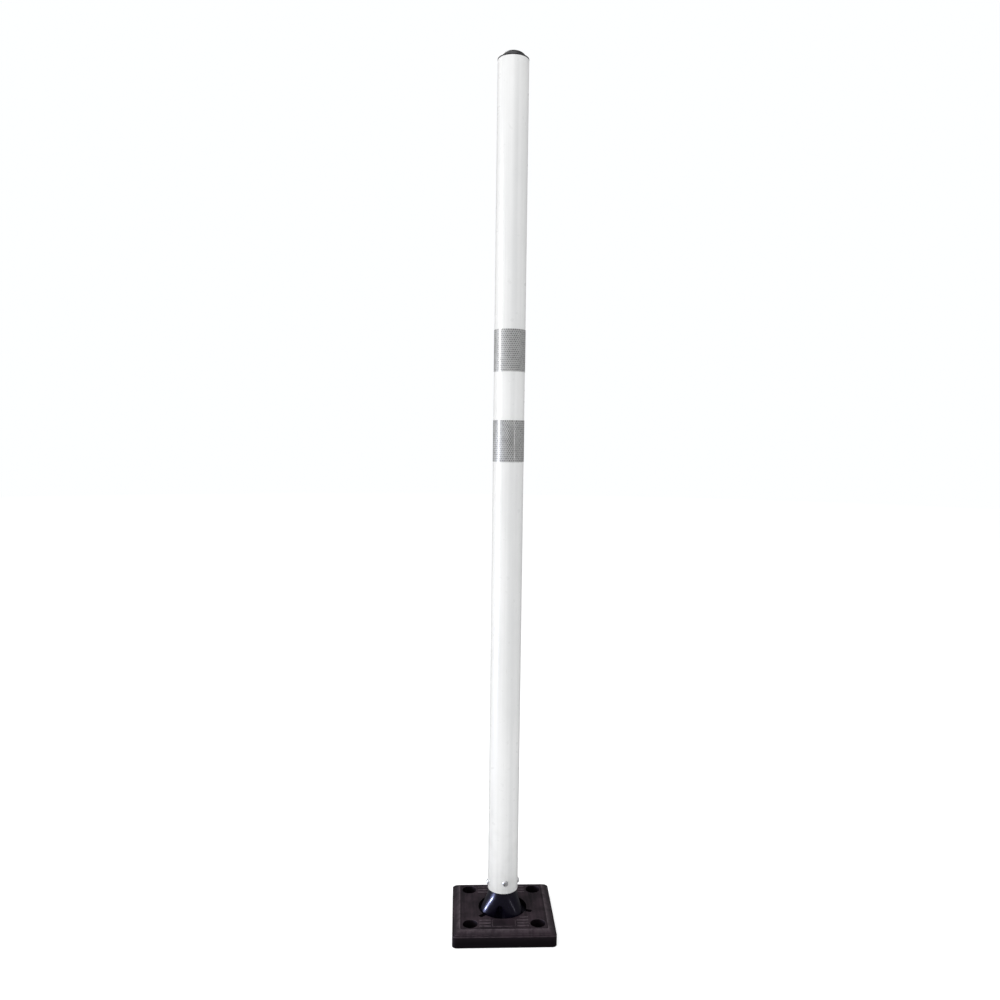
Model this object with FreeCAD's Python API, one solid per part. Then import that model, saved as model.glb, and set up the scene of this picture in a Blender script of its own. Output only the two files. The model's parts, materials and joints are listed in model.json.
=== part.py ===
import FreeCAD, Part
import math
import os

# A flexible delineator post: a square rubber base bolted to the road, a urethane
# hinge that twist-locks into the base, and a hollow post riveted to the hinge.
# Millimetres. +Z is up, the origin is at the centre of the base's underside.

Vector = FreeCAD.Vector
UP = Vector(0, 0, 1)
ORIGIN = Vector(0, 0, 0)

# Base plate
BASE_SIDE = 203.2
BASE_CORNER_RADIUS = 9.0
WALL_HEIGHT = 21.5
WALL_ROUND = 1.2
OUTER_SLOPE_WIDTH = 4.0
OUTER_SLOPE_RISE = 1.5
STEP_RISE = 0.8
INNER_SLOPE_WIDTH = 10.3
INNER_SLOPE_RISE = 5.7
PLATEAU_CORNER_RADIUS = 3.0
LIP_WIDTH = 1.5
GROOVE_WIDTH = 1.4
GROOVE_DEPTH = 1.0

# Anchor holes in the base's corners
ANCHOR_EDGE_DISTANCE = 34.925
ANCHOR_HOLE_RADIUS = 7.15
COUNTERBORE_RADIUS = 15.0
COUNTERBORE_FLOOR = 12.0
COUNTERBORE_ROUND = 1.5

# Twist-lock well in the base's middle
WELL_RADIUS = 49.0
WELL_FLOOR = 6.0
WELL_ROUND = 0.8
LEDGE_THICKNESS = 12.0
NOTCH_WIDTH = 9.6
NOTCH_REACH = 12.5
NOTCH_COUNT = 3
FIRST_NOTCH_ANGLE = 100.0
LOCK_TURN = 22.0
STOP_ANGLE = 6.0

# Raised ribs and a blank panel on the plateau
RIB_HEIGHT = 0.8
RIB_WIDTH = 4.2
RIB_PITCH = 10.5
RIB_GAP_TO_HOLE = 1.7
RIB_GAP_TO_GROOVE = 2.0
RIB_GAP_TO_WELL = 3.4
FIRST_RIB_FROM_WELL = 6.0
PANEL_HALF_WIDTH = 23.0
PANEL_GAP = 3.0

# Clearances
RUNNING_GAP = 0.3
SEAT_CLEARANCE = 0.15
SKIN_CLEARANCE = 0.05
HOLE_CLEARANCE = 0.1

# Twist-lock foot of the hinge
FOOT_CLEARANCE = 0.5
LUG_SIDE_CLEARANCE = 0.6

# Post tube
TUBE_RADIUS = 30.15
TUBE_WALL = 3.2
TUBE_LENGTH = 1631.0
TUBE_EDGE_CHAMFER = 0.6

# Flexible bell of the hinge: a broad skirt below a narrow neck
BEND_CLEARANCE = 1.35
PIVOT_BELOW_RIM = 5.6
SKIRT_HEIGHT = 14.5
SKIRT_CLEARANCE = 1.85
NECK_INSET = 0.45
LOBE_CLEARANCE = 1.0
VALLEY_SPREAD = 6.5
BELL_WALL = 9.0
BELL_LEVELS = (0.0, 0.12, 0.26, 0.42, 0.58, 0.74, 0.88, 1.0)
LOBE_FULLNESS = (1.0, 0.98, 0.88, 0.66, 0.45, 0.27, 0.12, 0.0)
VALLEY_FULLNESS = (1.0, 1.0, 1.0, 0.95, 0.85, 0.6, 0.28, 0.0)
OUTLINE_POINTS = 36

# Hinge plug inside the post
PLUG_LENGTH = 62.0
PLUG_WALL = 7.8

# Blind rivets that hold the post to the plug
RIVET_COUNT = 4
RIVET_TURN = 7.0
RIVET_LOW = 12.9
RIVET_STAGGER = 8.5
RIVET_HEAD_RADIUS = 5.6
RIVET_HEAD_HEIGHT = 3.0
RIVET_SHANK_RADIUS = 2.4
RIVET_BULB_RADIUS = 3.7
RIVET_BULB_LENGTH = 3.4
MANDREL_RADIUS = 1.3
MANDREL_RECESS = 0.5
MANDREL_TIP_RADIUS = 2.9
MANDREL_TIP_LENGTH = 2.2
WASHER_RADIUS = 6.5
WASHER_THICKNESS = 1.5
SPOT_FACE_DEPTH = 0.8
SPOT_FACE_CLEARANCE = 0.3

# Reflective sheeting bands
SHEETING_THICKNESS = 0.45
SHEETING_HEIGHT = 81.0
SHEETING_SPACE = 94.0
SHEETING_DROP = 510.2
SHEETING_SEAM = 2.0
SHEETING_SEAM_ANGLE = 90.0

# Top cap
CAP_OVERHANG = 0.25
CAP_FLANGE_THICKNESS = 2.5
CAP_SHOULDER = 2.6
CAP_DOME_HEIGHT = 14.5
CAP_SHELL = 2.6
CAP_SKIRT_LENGTH = 26.0
CAP_SKIRT_WALL = 2.4
CAP_SKIRT_TAPER = 0.6

# Places that follow from the sizes above
PLATEAU_HEIGHT = WALL_HEIGHT + OUTER_SLOPE_RISE + STEP_RISE + INNER_SLOPE_RISE
PLATEAU_SIDE = BASE_SIDE - 2 * (OUTER_SLOPE_WIDTH + INNER_SLOPE_WIDTH)
ANCHOR_SPACING = BASE_SIDE - 2 * ANCHOR_EDGE_DISTANCE
LEDGE_UNDERSIDE = PLATEAU_HEIGHT - LEDGE_THICKNESS
UNDERCUT_RADIUS = WELL_RADIUS + NOTCH_REACH
NOTCH_STEP = 360.0 / NOTCH_COUNT
FIRST_RIB = WELL_RADIUS + FIRST_RIB_FROM_WELL
LAST_RIB = PLATEAU_SIDE / 2 - LIP_WIDTH - GROOVE_WIDTH - RIB_GAP_TO_GROOVE - RIB_WIDTH / 2
RIB_ROWS = int((LAST_RIB - FIRST_RIB) // RIB_PITCH) + 1
FIRST_LUG_ANGLE = FIRST_NOTCH_ANGLE - LOCK_TURN
FOOT_BOTTOM = WELL_FLOOR + RUNNING_GAP
FOOT_TOP = LEDGE_UNDERSIDE - RUNNING_GAP
SKIRT_TOP = PLATEAU_HEIGHT + SKIRT_HEIGHT
LOWER_PIVOT = PLATEAU_HEIGHT + TUBE_RADIUS + RIVET_HEAD_HEIGHT + BEND_CLEARANCE
UPPER_PIVOT = SKIRT_TOP + TUBE_RADIUS + SKIRT_CLEARANCE
TUBE_BOTTOM = LOWER_PIVOT + PIVOT_BELOW_RIM
TUBE_TOP = TUBE_BOTTOM + TUBE_LENGTH
TUBE_BORE = TUBE_RADIUS - TUBE_WALL
PLUG_RADIUS = TUBE_BORE - SEAT_CLEARANCE
PLUG_BORE = PLUG_RADIUS - PLUG_WALL
BELL_BOTTOM = FOOT_TOP + RUNNING_GAP
BELL_TOP = TUBE_BOTTOM - RUNNING_GAP
NECK_RADIUS = TUBE_BORE - NECK_INSET
LOBE_RADIUS = WELL_RADIUS - LOBE_CLEARANCE
VALLEY_RADIUS = NECK_RADIUS + VALLEY_SPREAD
BELL_MOUTH = VALLEY_RADIUS - BELL_WALL
SPOT_FACE_PLACE = math.sqrt(PLUG_BORE ** 2 - WASHER_RADIUS ** 2) + SPOT_FACE_DEPTH
SHEETING_TOPS = {
    "upper_sheeting": TUBE_TOP - SHEETING_DROP,
    "lower_sheeting": TUBE_TOP - SHEETING_DROP - SHEETING_HEIGHT - SHEETING_SPACE,
}


def cylinder(radius, bottom, top):
    """A solid cylinder on the Z axis between two heights."""
    return Part.makeCylinder(radius, top - bottom, Vector(0, 0, bottom), UP)


def turned(shape, angle):
    """A copy of the shape turned about the Z axis, in degrees."""
    copy = shape.copy()
    copy.rotate(ORIGIN, UP, angle)
    return copy


def rounded_square(side, radius, height):
    """A closed wire: a square with rounded corners, level at a height."""
    half = side / 2
    straight = half - radius
    diagonal = straight + radius * math.sqrt(0.5)
    edges = []
    for quarter in range(4):
        corner = [
            Part.makeLine(Vector(half, -straight, height), Vector(half, straight, height)),
            Part.Arc(
                Vector(half, straight, height),
                Vector(diagonal, diagonal, height),
                Vector(straight, half, height),
            ).toShape(),
        ]
        edges += [turned(edge, 90 * quarter) for edge in corner]
    return Part.Wire(Part.__sortEdges__(edges))


def square_frustum(lower, upper):
    """A solid between two rounded squares, each given as side, corner radius and height."""
    return Part.makeLoft([rounded_square(*lower), rounded_square(*upper)], True, True)


def rounded_slab(side, radius, bottom, top):
    """A flat slab with rounded corners between two heights."""
    face = Part.Face(rounded_square(side, radius, bottom))
    return face.extrude(Vector(0, 0, top - bottom))


def edges_where(shape, test):
    """The edges of a shape whose every corner passes the test."""
    return [e for e in shape.Edges if e.Vertexes and all(test(v.Point) for v in e.Vertexes)]


def flat_radius(point):
    """The distance of a point from the Z axis."""
    return math.hypot(point.x, point.y)


def base_blank():
    """The base's outside: an upright wall, a low outer slope, a step and an inner slope."""
    step_side = BASE_SIDE - 2 * OUTER_SLOPE_WIDTH
    step_radius = max(BASE_CORNER_RADIUS - OUTER_SLOPE_WIDTH, PLATEAU_CORNER_RADIUS)
    step_foot = WALL_HEIGHT + OUTER_SLOPE_RISE
    step_top = step_foot + STEP_RISE
    wall = rounded_slab(BASE_SIDE, BASE_CORNER_RADIUS, 0, WALL_HEIGHT)
    outer_slope = square_frustum(
        (BASE_SIDE, BASE_CORNER_RADIUS, WALL_HEIGHT), (step_side, step_radius, step_foot)
    )
    step = rounded_slab(step_side, step_radius, step_foot, step_top)
    inner_slope = square_frustum(
        (step_side, step_radius, step_top), (PLATEAU_SIDE, PLATEAU_CORNER_RADIUS, PLATEAU_HEIGHT)
    )
    blank = wall.fuse([outer_slope, step, inner_slope]).removeSplitter()
    shoulder = edges_where(blank, lambda p: abs(p.z - WALL_HEIGHT) < 1e-6)
    return blank.makeFillet(WALL_ROUND, shoulder)


def lip_groove():
    """The narrow groove just inside the plateau's raised lip."""
    outer_side = PLATEAU_SIDE - 2 * LIP_WIDTH
    inner_side = outer_side - 2 * GROOVE_WIDTH
    inner_radius = max(PLATEAU_CORNER_RADIUS - GROOVE_WIDTH, 0.5)
    floor = PLATEAU_HEIGHT - GROOVE_DEPTH
    top = PLATEAU_HEIGHT + GROOVE_DEPTH
    outer = rounded_slab(outer_side, PLATEAU_CORNER_RADIUS, floor, top)
    return outer.cut(rounded_slab(inner_side, inner_radius, floor, top))


def anchor_places():
    """The centres of the four anchor holes."""
    half = ANCHOR_SPACING / 2
    return [Vector(x, y, 0) for x in (-half, half) for y in (-half, half)]


def anchor_cut(place):
    """One anchor hole: a bore, a counterbore for the washer, and its rounded mouth."""
    hole = cylinder(ANCHOR_HOLE_RADIUS, -1, PLATEAU_HEIGHT)
    pocket = cylinder(COUNTERBORE_RADIUS, COUNTERBORE_FLOOR, PLATEAU_HEIGHT)
    mouth_radius = COUNTERBORE_RADIUS + COUNTERBORE_ROUND
    mouth = cylinder(mouth_radius, PLATEAU_HEIGHT - COUNTERBORE_ROUND, PLATEAU_HEIGHT)
    ring = Part.makeTorus(
        mouth_radius, COUNTERBORE_ROUND, Vector(0, 0, PLATEAU_HEIGHT - COUNTERBORE_ROUND), UP
    )
    cut = hole.fuse([pocket, mouth.cut(ring)])
    cut.translate(place)
    return cut


def sector(inner, outer, start, sweep, bottom, top):
    """A block between two radii over an angle, in degrees, and between two heights."""
    disc = Part.makeCylinder(outer, top - bottom, Vector(0, 0, bottom), UP, sweep)
    return turned(disc.cut(cylinder(inner, bottom - 1, top + 1)), start)


def radial_bar(reach, width, angle, bottom, top):
    """A bar from the Z axis outwards at an angle, with an end rounded to the reach."""
    bar = Part.makeBox(reach + width, width, top - bottom, Vector(0, -width / 2, bottom))
    return turned(bar.common(cylinder(reach, bottom, top)), angle)


def lug_half_angle():
    """Half the angle that a lug takes up at the well's radius, in degrees."""
    half_width = NOTCH_WIDTH / 2 - LUG_SIDE_CLEARANCE
    return math.degrees(math.asin(half_width / WELL_RADIUS))


def twist_lock_well():
    """The well: a round mouth with notches over a wider ring that the lugs turn in."""
    cut = cylinder(WELL_RADIUS, WELL_FLOOR, PLATEAU_HEIGHT)
    ring = cylinder(UNDERCUT_RADIUS, WELL_FLOOR, LEDGE_UNDERSIDE)
    stop_gap = lug_half_angle() + math.degrees(RUNNING_GAP / WELL_RADIUS)
    notches = []
    for index in range(NOTCH_COUNT):
        lug_angle = FIRST_LUG_ANGLE + index * NOTCH_STEP
        stop_start = lug_angle - stop_gap - STOP_ANGLE
        ring = ring.cut(
            sector(
                WELL_RADIUS, UNDERCUT_RADIUS + 1, stop_start, STOP_ANGLE, WELL_FLOOR, LEDGE_UNDERSIDE
            )
        )
        notches.append(
            radial_bar(
                UNDERCUT_RADIUS,
                NOTCH_WIDTH,
                FIRST_NOTCH_ANGLE + index * NOTCH_STEP,
                WELL_FLOOR,
                PLATEAU_HEIGHT,
            )
        )
    return cut.fuse([ring] + notches).removeSplitter()


def rib_block(left, right, front, back):
    """A low raised block on the plateau with softened top edges."""
    corner = Vector(left, front, PLATEAU_HEIGHT - 1)
    block = Part.makeBox(right - left, back - front, RIB_HEIGHT + 1, corner)
    top_edges = edges_where(block, lambda p: p.z > PLATEAU_HEIGHT)
    return block.makeFillet(RIB_HEIGHT * 0.6, top_edges)


def plateau_relief():
    """The low ribs between the corner holes and the blank panel between the front ribs."""
    outer_end = ANCHOR_SPACING / 2 - COUNTERBORE_RADIUS - COUNTERBORE_ROUND - RIB_GAP_TO_HOLE
    inner_end = PANEL_HALF_WIDTH + PANEL_GAP
    blocks = []
    for side in (-1, 1):
        for end in (-1, 1):
            left, right = sorted((end * inner_end, end * outer_end))
            for row in range(RIB_ROWS):
                middle = side * (FIRST_RIB + row * RIB_PITCH)
                front = middle - RIB_WIDTH / 2
                blocks.append(rib_block(left, right, front, front + RIB_WIDTH))
    near_row = FIRST_RIB - RIB_PITCH
    well_reach = WELL_RADIUS + WELL_ROUND + RIB_GAP_TO_WELL
    clear_end = math.sqrt(well_reach ** 2 - (near_row - RIB_WIDTH / 2) ** 2)
    near_front = -near_row - RIB_WIDTH / 2
    blocks.append(rib_block(clear_end, outer_end, near_front, near_front + RIB_WIDTH))
    panel_back = -FIRST_RIB + RIB_WIDTH / 2
    panel_front = panel_back - RIB_PITCH * (RIB_ROWS - 1) - RIB_WIDTH
    blocks.append(rib_block(-PANEL_HALF_WIDTH, PANEL_HALF_WIDTH, panel_front, panel_back))
    return blocks


def base_plate():
    """The square base with its slopes, groove, ribs, anchor holes and twist-lock well."""
    anchor_cuts = [anchor_cut(place) for place in anchor_places()]
    plate = base_blank().cut([lip_groove()] + anchor_cuts).cut(twist_lock_well())
    mouth = [
        edge
        for edge in edges_where(plate, lambda p: abs(p.z - PLATEAU_HEIGHT) < 1e-6)
        if flat_radius(edge.CenterOfMass) < UNDERCUT_RADIUS
    ]
    return plate.makeFillet(WELL_ROUND, mouth).fuse(plateau_relief()).removeSplitter()


def hinge_foot():
    """The hinge's foot: a thick ring with lugs that turn under the well's ledge."""
    foot = cylinder(WELL_RADIUS - FOOT_CLEARANCE, FOOT_BOTTOM, FOOT_TOP)
    lugs = [
        radial_bar(
            UNDERCUT_RADIUS - RUNNING_GAP,
            NOTCH_WIDTH - 2 * LUG_SIDE_CLEARANCE,
            FIRST_LUG_ANGLE + index * NOTCH_STEP,
            FOOT_BOTTOM,
            FOOT_TOP,
        )
        for index in range(NOTCH_COUNT)
    ]
    foot = foot.fuse(lugs).removeSplitter()
    return foot.cut(cylinder(BELL_MOUTH, FOOT_BOTTOM - 1, FOOT_TOP + 1))


def bell_outline(level, lobe_share, valley_share):
    """A closed wire round the bell, with a lobe over each lug and valleys between."""
    height = BELL_BOTTOM + level * (BELL_TOP - BELL_BOTTOM)
    lobe = NECK_RADIUS + lobe_share * (LOBE_RADIUS - NECK_RADIUS)
    valley = NECK_RADIUS + valley_share * (VALLEY_RADIUS - NECK_RADIUS)
    points = []
    for index in range(OUTLINE_POINTS):
        angle = 2 * math.pi * index / OUTLINE_POINTS
        phase = NOTCH_COUNT * (angle - math.radians(FIRST_LUG_ANGLE))
        radius = valley + (lobe - valley) * (1 + math.cos(phase)) / 2
        points.append(Vector(radius * math.cos(angle), radius * math.sin(angle), height))
    curve = Part.BSplineCurve()
    curve.interpolate(points, PeriodicFlag=True)
    return Part.Wire(curve.toShape())


def hinge_bell():
    """The flexible bell between the foot and the post, hollow to a narrow neck."""
    outlines = [
        bell_outline(*shares) for shares in zip(BELL_LEVELS, LOBE_FULLNESS, VALLEY_FULLNESS)
    ]
    bell = Part.makeLoft(outlines, True, False)
    hollow = Part.makeCone(
        BELL_MOUTH, PLUG_BORE, BELL_TOP - BELL_BOTTOM, Vector(0, 0, BELL_BOTTOM), UP
    )
    return bell.cut(hollow)


def hinge_skirt():
    """The bell's lower stretch, which takes up a lean towards the front or back."""
    return hinge_bell().common(cylinder(WELL_RADIUS, BELL_BOTTOM, SKIRT_TOP))


def hinge_neck():
    """The bell's upper stretch, which takes up a lean to either side."""
    return hinge_bell().common(cylinder(WELL_RADIUS, SKIRT_TOP, BELL_TOP))


def rivet_frames():
    """Each rivet's angle and height."""
    frames = []
    for index in range(RIVET_COUNT):
        angle = RIVET_TURN + index * 360.0 / RIVET_COUNT
        height = TUBE_BOTTOM + RIVET_LOW + RIVET_STAGGER * (index % 2)
        frames.append((angle, height))
    return frames


def along_rivet(radius, start, end):
    """A cylinder on the X axis between two distances from the post's axis."""
    return Part.makeCylinder(radius, end - start, Vector(start, 0, 0), Vector(1, 0, 0))


def at_rivets(shape):
    """A copy of a shape made on the X axis at each rivet's place."""
    copies = []
    for angle, height in rivet_frames():
        copy = turned(shape, angle)
        copy.translate(Vector(0, 0, height))
        copies.append(copy)
    return copies


def rivet_holes():
    """The four holes that the rivets pass through, from the bore to the outside."""
    hole = along_rivet(RIVET_SHANK_RADIUS + HOLE_CLEARANCE, PLUG_BORE / 2, TUBE_RADIUS + 1)
    return at_rivets(hole)


def hinge_plug():
    """The hinge's upper end: a thick sleeve inside the post, spot-faced at each rivet."""
    top = TUBE_BOTTOM + PLUG_LENGTH
    plug = cylinder(PLUG_RADIUS, TUBE_BOTTOM, top)
    plug = plug.cut(cylinder(PLUG_BORE, TUBE_BOTTOM - 1, top + 1))
    spot_face = along_rivet(WASHER_RADIUS + SPOT_FACE_CLEARANCE, 0, SPOT_FACE_PLACE)
    return plug.cut(at_rivets(spot_face) + rivet_holes())


def post_tube():
    """The round hollow post, with small chamfers at both ends."""
    tube = cylinder(TUBE_RADIUS, TUBE_BOTTOM, TUBE_TOP)
    tube = tube.cut(cylinder(TUBE_BORE, TUBE_BOTTOM - 1, TUBE_TOP + 1))
    rims = [
        edge
        for edge in tube.Edges
        if isinstance(edge.Curve, Part.Circle) and abs(edge.Curve.Radius - TUBE_RADIUS) < 1e-6
    ]
    return tube.makeChamfer(TUBE_EDGE_CHAMFER, rims).cut(rivet_holes())


def rivet_body():
    """One rivet's sleeve: a domed head, a shank, and the bulb formed behind the washer."""
    rise = RIVET_HEAD_HEIGHT
    sphere_radius = (RIVET_HEAD_RADIUS ** 2 + rise ** 2) / (2 * rise)
    ball = Part.makeSphere(sphere_radius, Vector(TUBE_RADIUS + rise - sphere_radius, 0, 0))
    head = ball.common(along_rivet(RIVET_HEAD_RADIUS, TUBE_RADIUS, TUBE_RADIUS + rise))
    washer_back = SPOT_FACE_PLACE - WASHER_THICKNESS
    shank = along_rivet(RIVET_SHANK_RADIUS, washer_back, TUBE_RADIUS)
    bulb = along_rivet(RIVET_BULB_RADIUS, washer_back - RIVET_BULB_LENGTH, washer_back)
    ends = edges_where(bulb, lambda p: True)
    bulb = bulb.makeFillet(RIVET_BULB_LENGTH * 0.3, ends)
    body = head.fuse([shank, bulb]).removeSplitter()
    bore_start = washer_back - RIVET_BULB_LENGTH - 1
    return body.cut(along_rivet(MANDREL_RADIUS + HOLE_CLEARANCE, bore_start, TUBE_RADIUS + rise + 1))


def rivet_mandrel():
    """One rivet's broken-off mandrel: a stem in the sleeve and a head behind the bulb."""
    tip_front = SPOT_FACE_PLACE - WASHER_THICKNESS - RIVET_BULB_LENGTH
    stem = along_rivet(MANDREL_RADIUS, tip_front, TUBE_RADIUS + RIVET_HEAD_HEIGHT - MANDREL_RECESS)
    tip = along_rivet(MANDREL_TIP_RADIUS, tip_front - MANDREL_TIP_LENGTH, tip_front)
    return stem.fuse(tip)


def rivet_washer():
    """One backing washer, seated in the plug's spot face."""
    start = SPOT_FACE_PLACE - WASHER_THICKNESS
    washer = along_rivet(WASHER_RADIUS, start, SPOT_FACE_PLACE)
    return washer.cut(along_rivet(RIVET_SHANK_RADIUS + HOLE_CLEARANCE, start - 1, SPOT_FACE_PLACE + 1))


def sheeting(top):
    """One wrapped band of reflective sheeting with a butt seam at the back."""
    inner = TUBE_RADIUS + SKIN_CLEARANCE
    outer = inner + SHEETING_THICKNESS
    seam_angle = math.degrees(SHEETING_SEAM / outer)
    start = SHEETING_SEAM_ANGLE + seam_angle / 2
    return sector(inner, outer, start, 360 - seam_angle, top - SHEETING_HEIGHT, top)


def dome(radius, height, base):
    """A half ellipsoid standing on a level, made from its profile."""
    ellipse = Part.Ellipse(Vector(radius, 0, base), Vector(0, 0, base + height), Vector(0, 0, base))
    arc = Part.Arc(ellipse, 0, math.pi / 2).toShape()
    centre = Vector(0, 0, base)
    ends = [vertex.Point for vertex in arc.Vertexes]
    sides = [Part.makeLine(centre, end) for end in ends]
    face = Part.Face(Part.Wire(Part.__sortEdges__([arc] + sides)))
    return face.revolve(ORIGIN, UP, 360)


def top_cap():
    """The domed cap: a flange on the post's end, a hollow dome and a tapered skirt."""
    flange_top = TUBE_TOP + CAP_FLANGE_THICKNESS
    flange = cylinder(TUBE_RADIUS + CAP_OVERHANG, TUBE_TOP, flange_top)
    rim = edges_where(flange, lambda p: abs(p.z - flange_top) < 1e-6)
    flange = flange.makeFillet(CAP_FLANGE_THICKNESS * 0.4, rim)
    dome_radius = TUBE_RADIUS - CAP_SHOULDER
    skirt_radius = TUBE_BORE - SEAT_CLEARANCE
    skirt = Part.makeCone(
        skirt_radius - CAP_SKIRT_TAPER,
        skirt_radius,
        CAP_SKIRT_LENGTH,
        Vector(0, 0, TUBE_TOP - CAP_SKIRT_LENGTH),
        UP,
    )
    cap = flange.fuse([dome(dome_radius, CAP_DOME_HEIGHT, flange_top), skirt])
    hollow_radius = skirt_radius - CAP_SKIRT_TAPER - CAP_SKIRT_WALL
    hollow = cylinder(hollow_radius, TUBE_TOP - CAP_SKIRT_LENGTH - 1, flange_top)
    crown = dome(hollow_radius, CAP_DOME_HEIGHT - CAP_SHELL, flange_top)
    return cap.cut(hollow.fuse(crown)).removeSplitter()


def save(node, shape):
    """Write one node's solids to its STEP file."""
    shape.exportStep("parts/" + node + ".step")


def main():
    """Build every node and write it."""
    os.makedirs("parts", exist_ok=True)
    save("base_plate", base_plate())
    save("hinge_foot", hinge_foot())
    save("hinge_skirt", hinge_skirt())
    save("hinge_neck", hinge_neck())
    save("hinge_plug", hinge_plug())
    save("post_tube", post_tube())
    save("top_cap", top_cap())
    for node, top in SHEETING_TOPS.items():
        save(node, sheeting(top))
    save("rivet_bodies", Part.makeCompound(at_rivets(rivet_body())))
    save("rivet_mandrels", Part.makeCompound(at_rivets(rivet_mandrel())))
    save("rivet_washers", Part.makeCompound(at_rivets(rivet_washer())))


main()
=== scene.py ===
"""Visual model of a flexible delineator post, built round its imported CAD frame.

Everything is in metres, with +Z up and the origin at the middle of the base's underside.
"""

import json
import logging
import math
from collections.abc import Callable, Iterable, Sequence
from dataclasses import dataclass, field
from enum import Enum

import bmesh
import bpy
from mathutils import Matrix, Vector


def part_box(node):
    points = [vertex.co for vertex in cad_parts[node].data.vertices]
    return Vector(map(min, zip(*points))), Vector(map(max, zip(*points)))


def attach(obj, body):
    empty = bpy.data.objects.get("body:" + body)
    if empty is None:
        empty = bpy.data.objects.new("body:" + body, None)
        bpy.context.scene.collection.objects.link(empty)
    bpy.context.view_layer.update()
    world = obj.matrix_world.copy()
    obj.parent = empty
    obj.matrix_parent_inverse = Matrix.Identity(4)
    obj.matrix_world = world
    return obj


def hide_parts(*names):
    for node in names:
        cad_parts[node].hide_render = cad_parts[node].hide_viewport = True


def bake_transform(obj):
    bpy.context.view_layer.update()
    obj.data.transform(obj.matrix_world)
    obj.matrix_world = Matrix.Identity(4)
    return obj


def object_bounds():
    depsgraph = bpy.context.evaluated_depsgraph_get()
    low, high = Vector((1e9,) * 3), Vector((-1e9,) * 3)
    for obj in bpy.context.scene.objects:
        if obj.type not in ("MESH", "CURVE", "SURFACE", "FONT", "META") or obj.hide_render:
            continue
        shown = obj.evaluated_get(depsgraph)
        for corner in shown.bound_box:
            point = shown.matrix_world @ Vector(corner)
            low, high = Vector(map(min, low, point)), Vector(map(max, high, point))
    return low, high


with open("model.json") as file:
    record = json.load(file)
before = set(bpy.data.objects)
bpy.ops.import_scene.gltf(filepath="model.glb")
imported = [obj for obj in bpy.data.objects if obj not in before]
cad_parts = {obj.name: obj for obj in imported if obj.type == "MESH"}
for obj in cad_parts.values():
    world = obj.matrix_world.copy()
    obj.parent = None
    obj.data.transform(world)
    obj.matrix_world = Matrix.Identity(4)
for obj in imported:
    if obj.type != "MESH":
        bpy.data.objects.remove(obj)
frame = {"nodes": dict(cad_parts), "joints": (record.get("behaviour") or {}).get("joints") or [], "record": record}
CAD_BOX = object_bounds()
MM = 0.001
FULL_TURN = 2 * math.pi
SMOOTH_ANGLE = math.radians(38)
HOLD_PLACE = 1.15  # a round's holding points, as a multiple of its reach
LONGEST_ROUND = 0.42  # the most of a side that one round may take up
ON_AXIS = 1e-7
ANCHORS = next(m for m in frame["record"]["mounts"] if m["name"] == "anchor_holes")
JOINTS = {joint["name"]: joint for joint in frame["joints"]}
LOG = logging.getLogger("delineator_post")

Point = tuple[float, float]
Colour = tuple[float, float, float, float]
Socket = bpy.types.NodeSocket
Material = bpy.types.Material


class Slot(Enum):
    """The record's material slots."""

    RUBBER = "base_rubber"
    URETHANE = "hinge_urethane"
    POST = "post_white"
    CAP = "cap_black"
    SHEETING = "sheeting"
    RIVET = "rivet_metal"
    STEEL = "mandrel_steel"


class Body(Enum):
    """The frame's moving bodies."""

    BASE = "base"
    FOOT = "foot"
    HINGE = "hinge"
    POST = "post"


# ---------------------------------------------------------------- mesh tools


@dataclass(frozen=True)
class Corner:
    """One corner of a profile.

    Attributes:
        across: Distance from the axis or from the middle plane.
        height: Height of the corner.
        rounding: Radius of the rounded corner; 0 keeps it sharp.
        wear_and_highlight: How worn the corner's crest is, from 0 to 1; the rubber and the cap also paint a
            highlight there by it.
        spread: The share of that wear and painted highlight at the round's two ends.
    """

    across: float
    height: float
    rounding: float = 0.0
    wear_and_highlight: float = 0.0
    spread: float = 0.0


@dataclass(frozen=True)
class Station:
    """One point of a finished profile.

    Attributes:
        across: Distance from the axis or from the middle plane.
        height: Its height.
        wear_and_highlight: How worn it is, from 0 to 1, which also sets a painted highlight.
    """

    across: float
    height: float
    wear_and_highlight: float = 0.0


def soften(corners: Sequence[Corner], closed: bool = False, steps: int = 4) -> list[Station]:
    """Rounds a profile's corners and adds a holding point at each side of every round.

    Args:
        corners: The profile's corners in order.
        closed: Whether the last corner joins the first.
        steps: Number of spans in each round.

    Returns:
        The stations of the softened profile.
    """
    stations: list[Station] = []
    count = len(corners)
    for index, corner in enumerate(corners):
        here = Vector((corner.across, corner.height))
        if corner.rounding == 0 or (not closed and index in (0, count - 1)):
            stations.append(Station(here.x, here.y, corner.wear_and_highlight))
            continue
        last, following = corners[index - 1], corners[(index + 1) % count]
        back = Vector((last.across, last.height)) - here
        ahead = Vector((following.across, following.height)) - here
        reach = corner.rounding / math.tan(back.angle(ahead) / 2)
        reach = min(reach, LONGEST_ROUND * back.length, LONGEST_ROUND * ahead.length)
        start, end = here + back.normalized() * reach, here + ahead.normalized() * reach
        edge_wear_and_highlight = corner.wear_and_highlight * corner.spread
        hold = here + back.normalized() * reach * HOLD_PLACE
        stations.append(Station(hold.x, hold.y, edge_wear_and_highlight))
        for step in range(steps + 1):
            part = step / steps
            place = start * (1 - part) ** 2 + here * 2 * part * (1 - part) + end * part**2
            crest = corner.spread + (1 - corner.spread) * (1 - abs(2 * part - 1))
            stations.append(Station(place.x, place.y, corner.wear_and_highlight * crest))
        hold = here + ahead.normalized() * reach * HOLD_PLACE
        stations.append(Station(hold.x, hold.y, edge_wear_and_highlight))
    return stations


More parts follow.
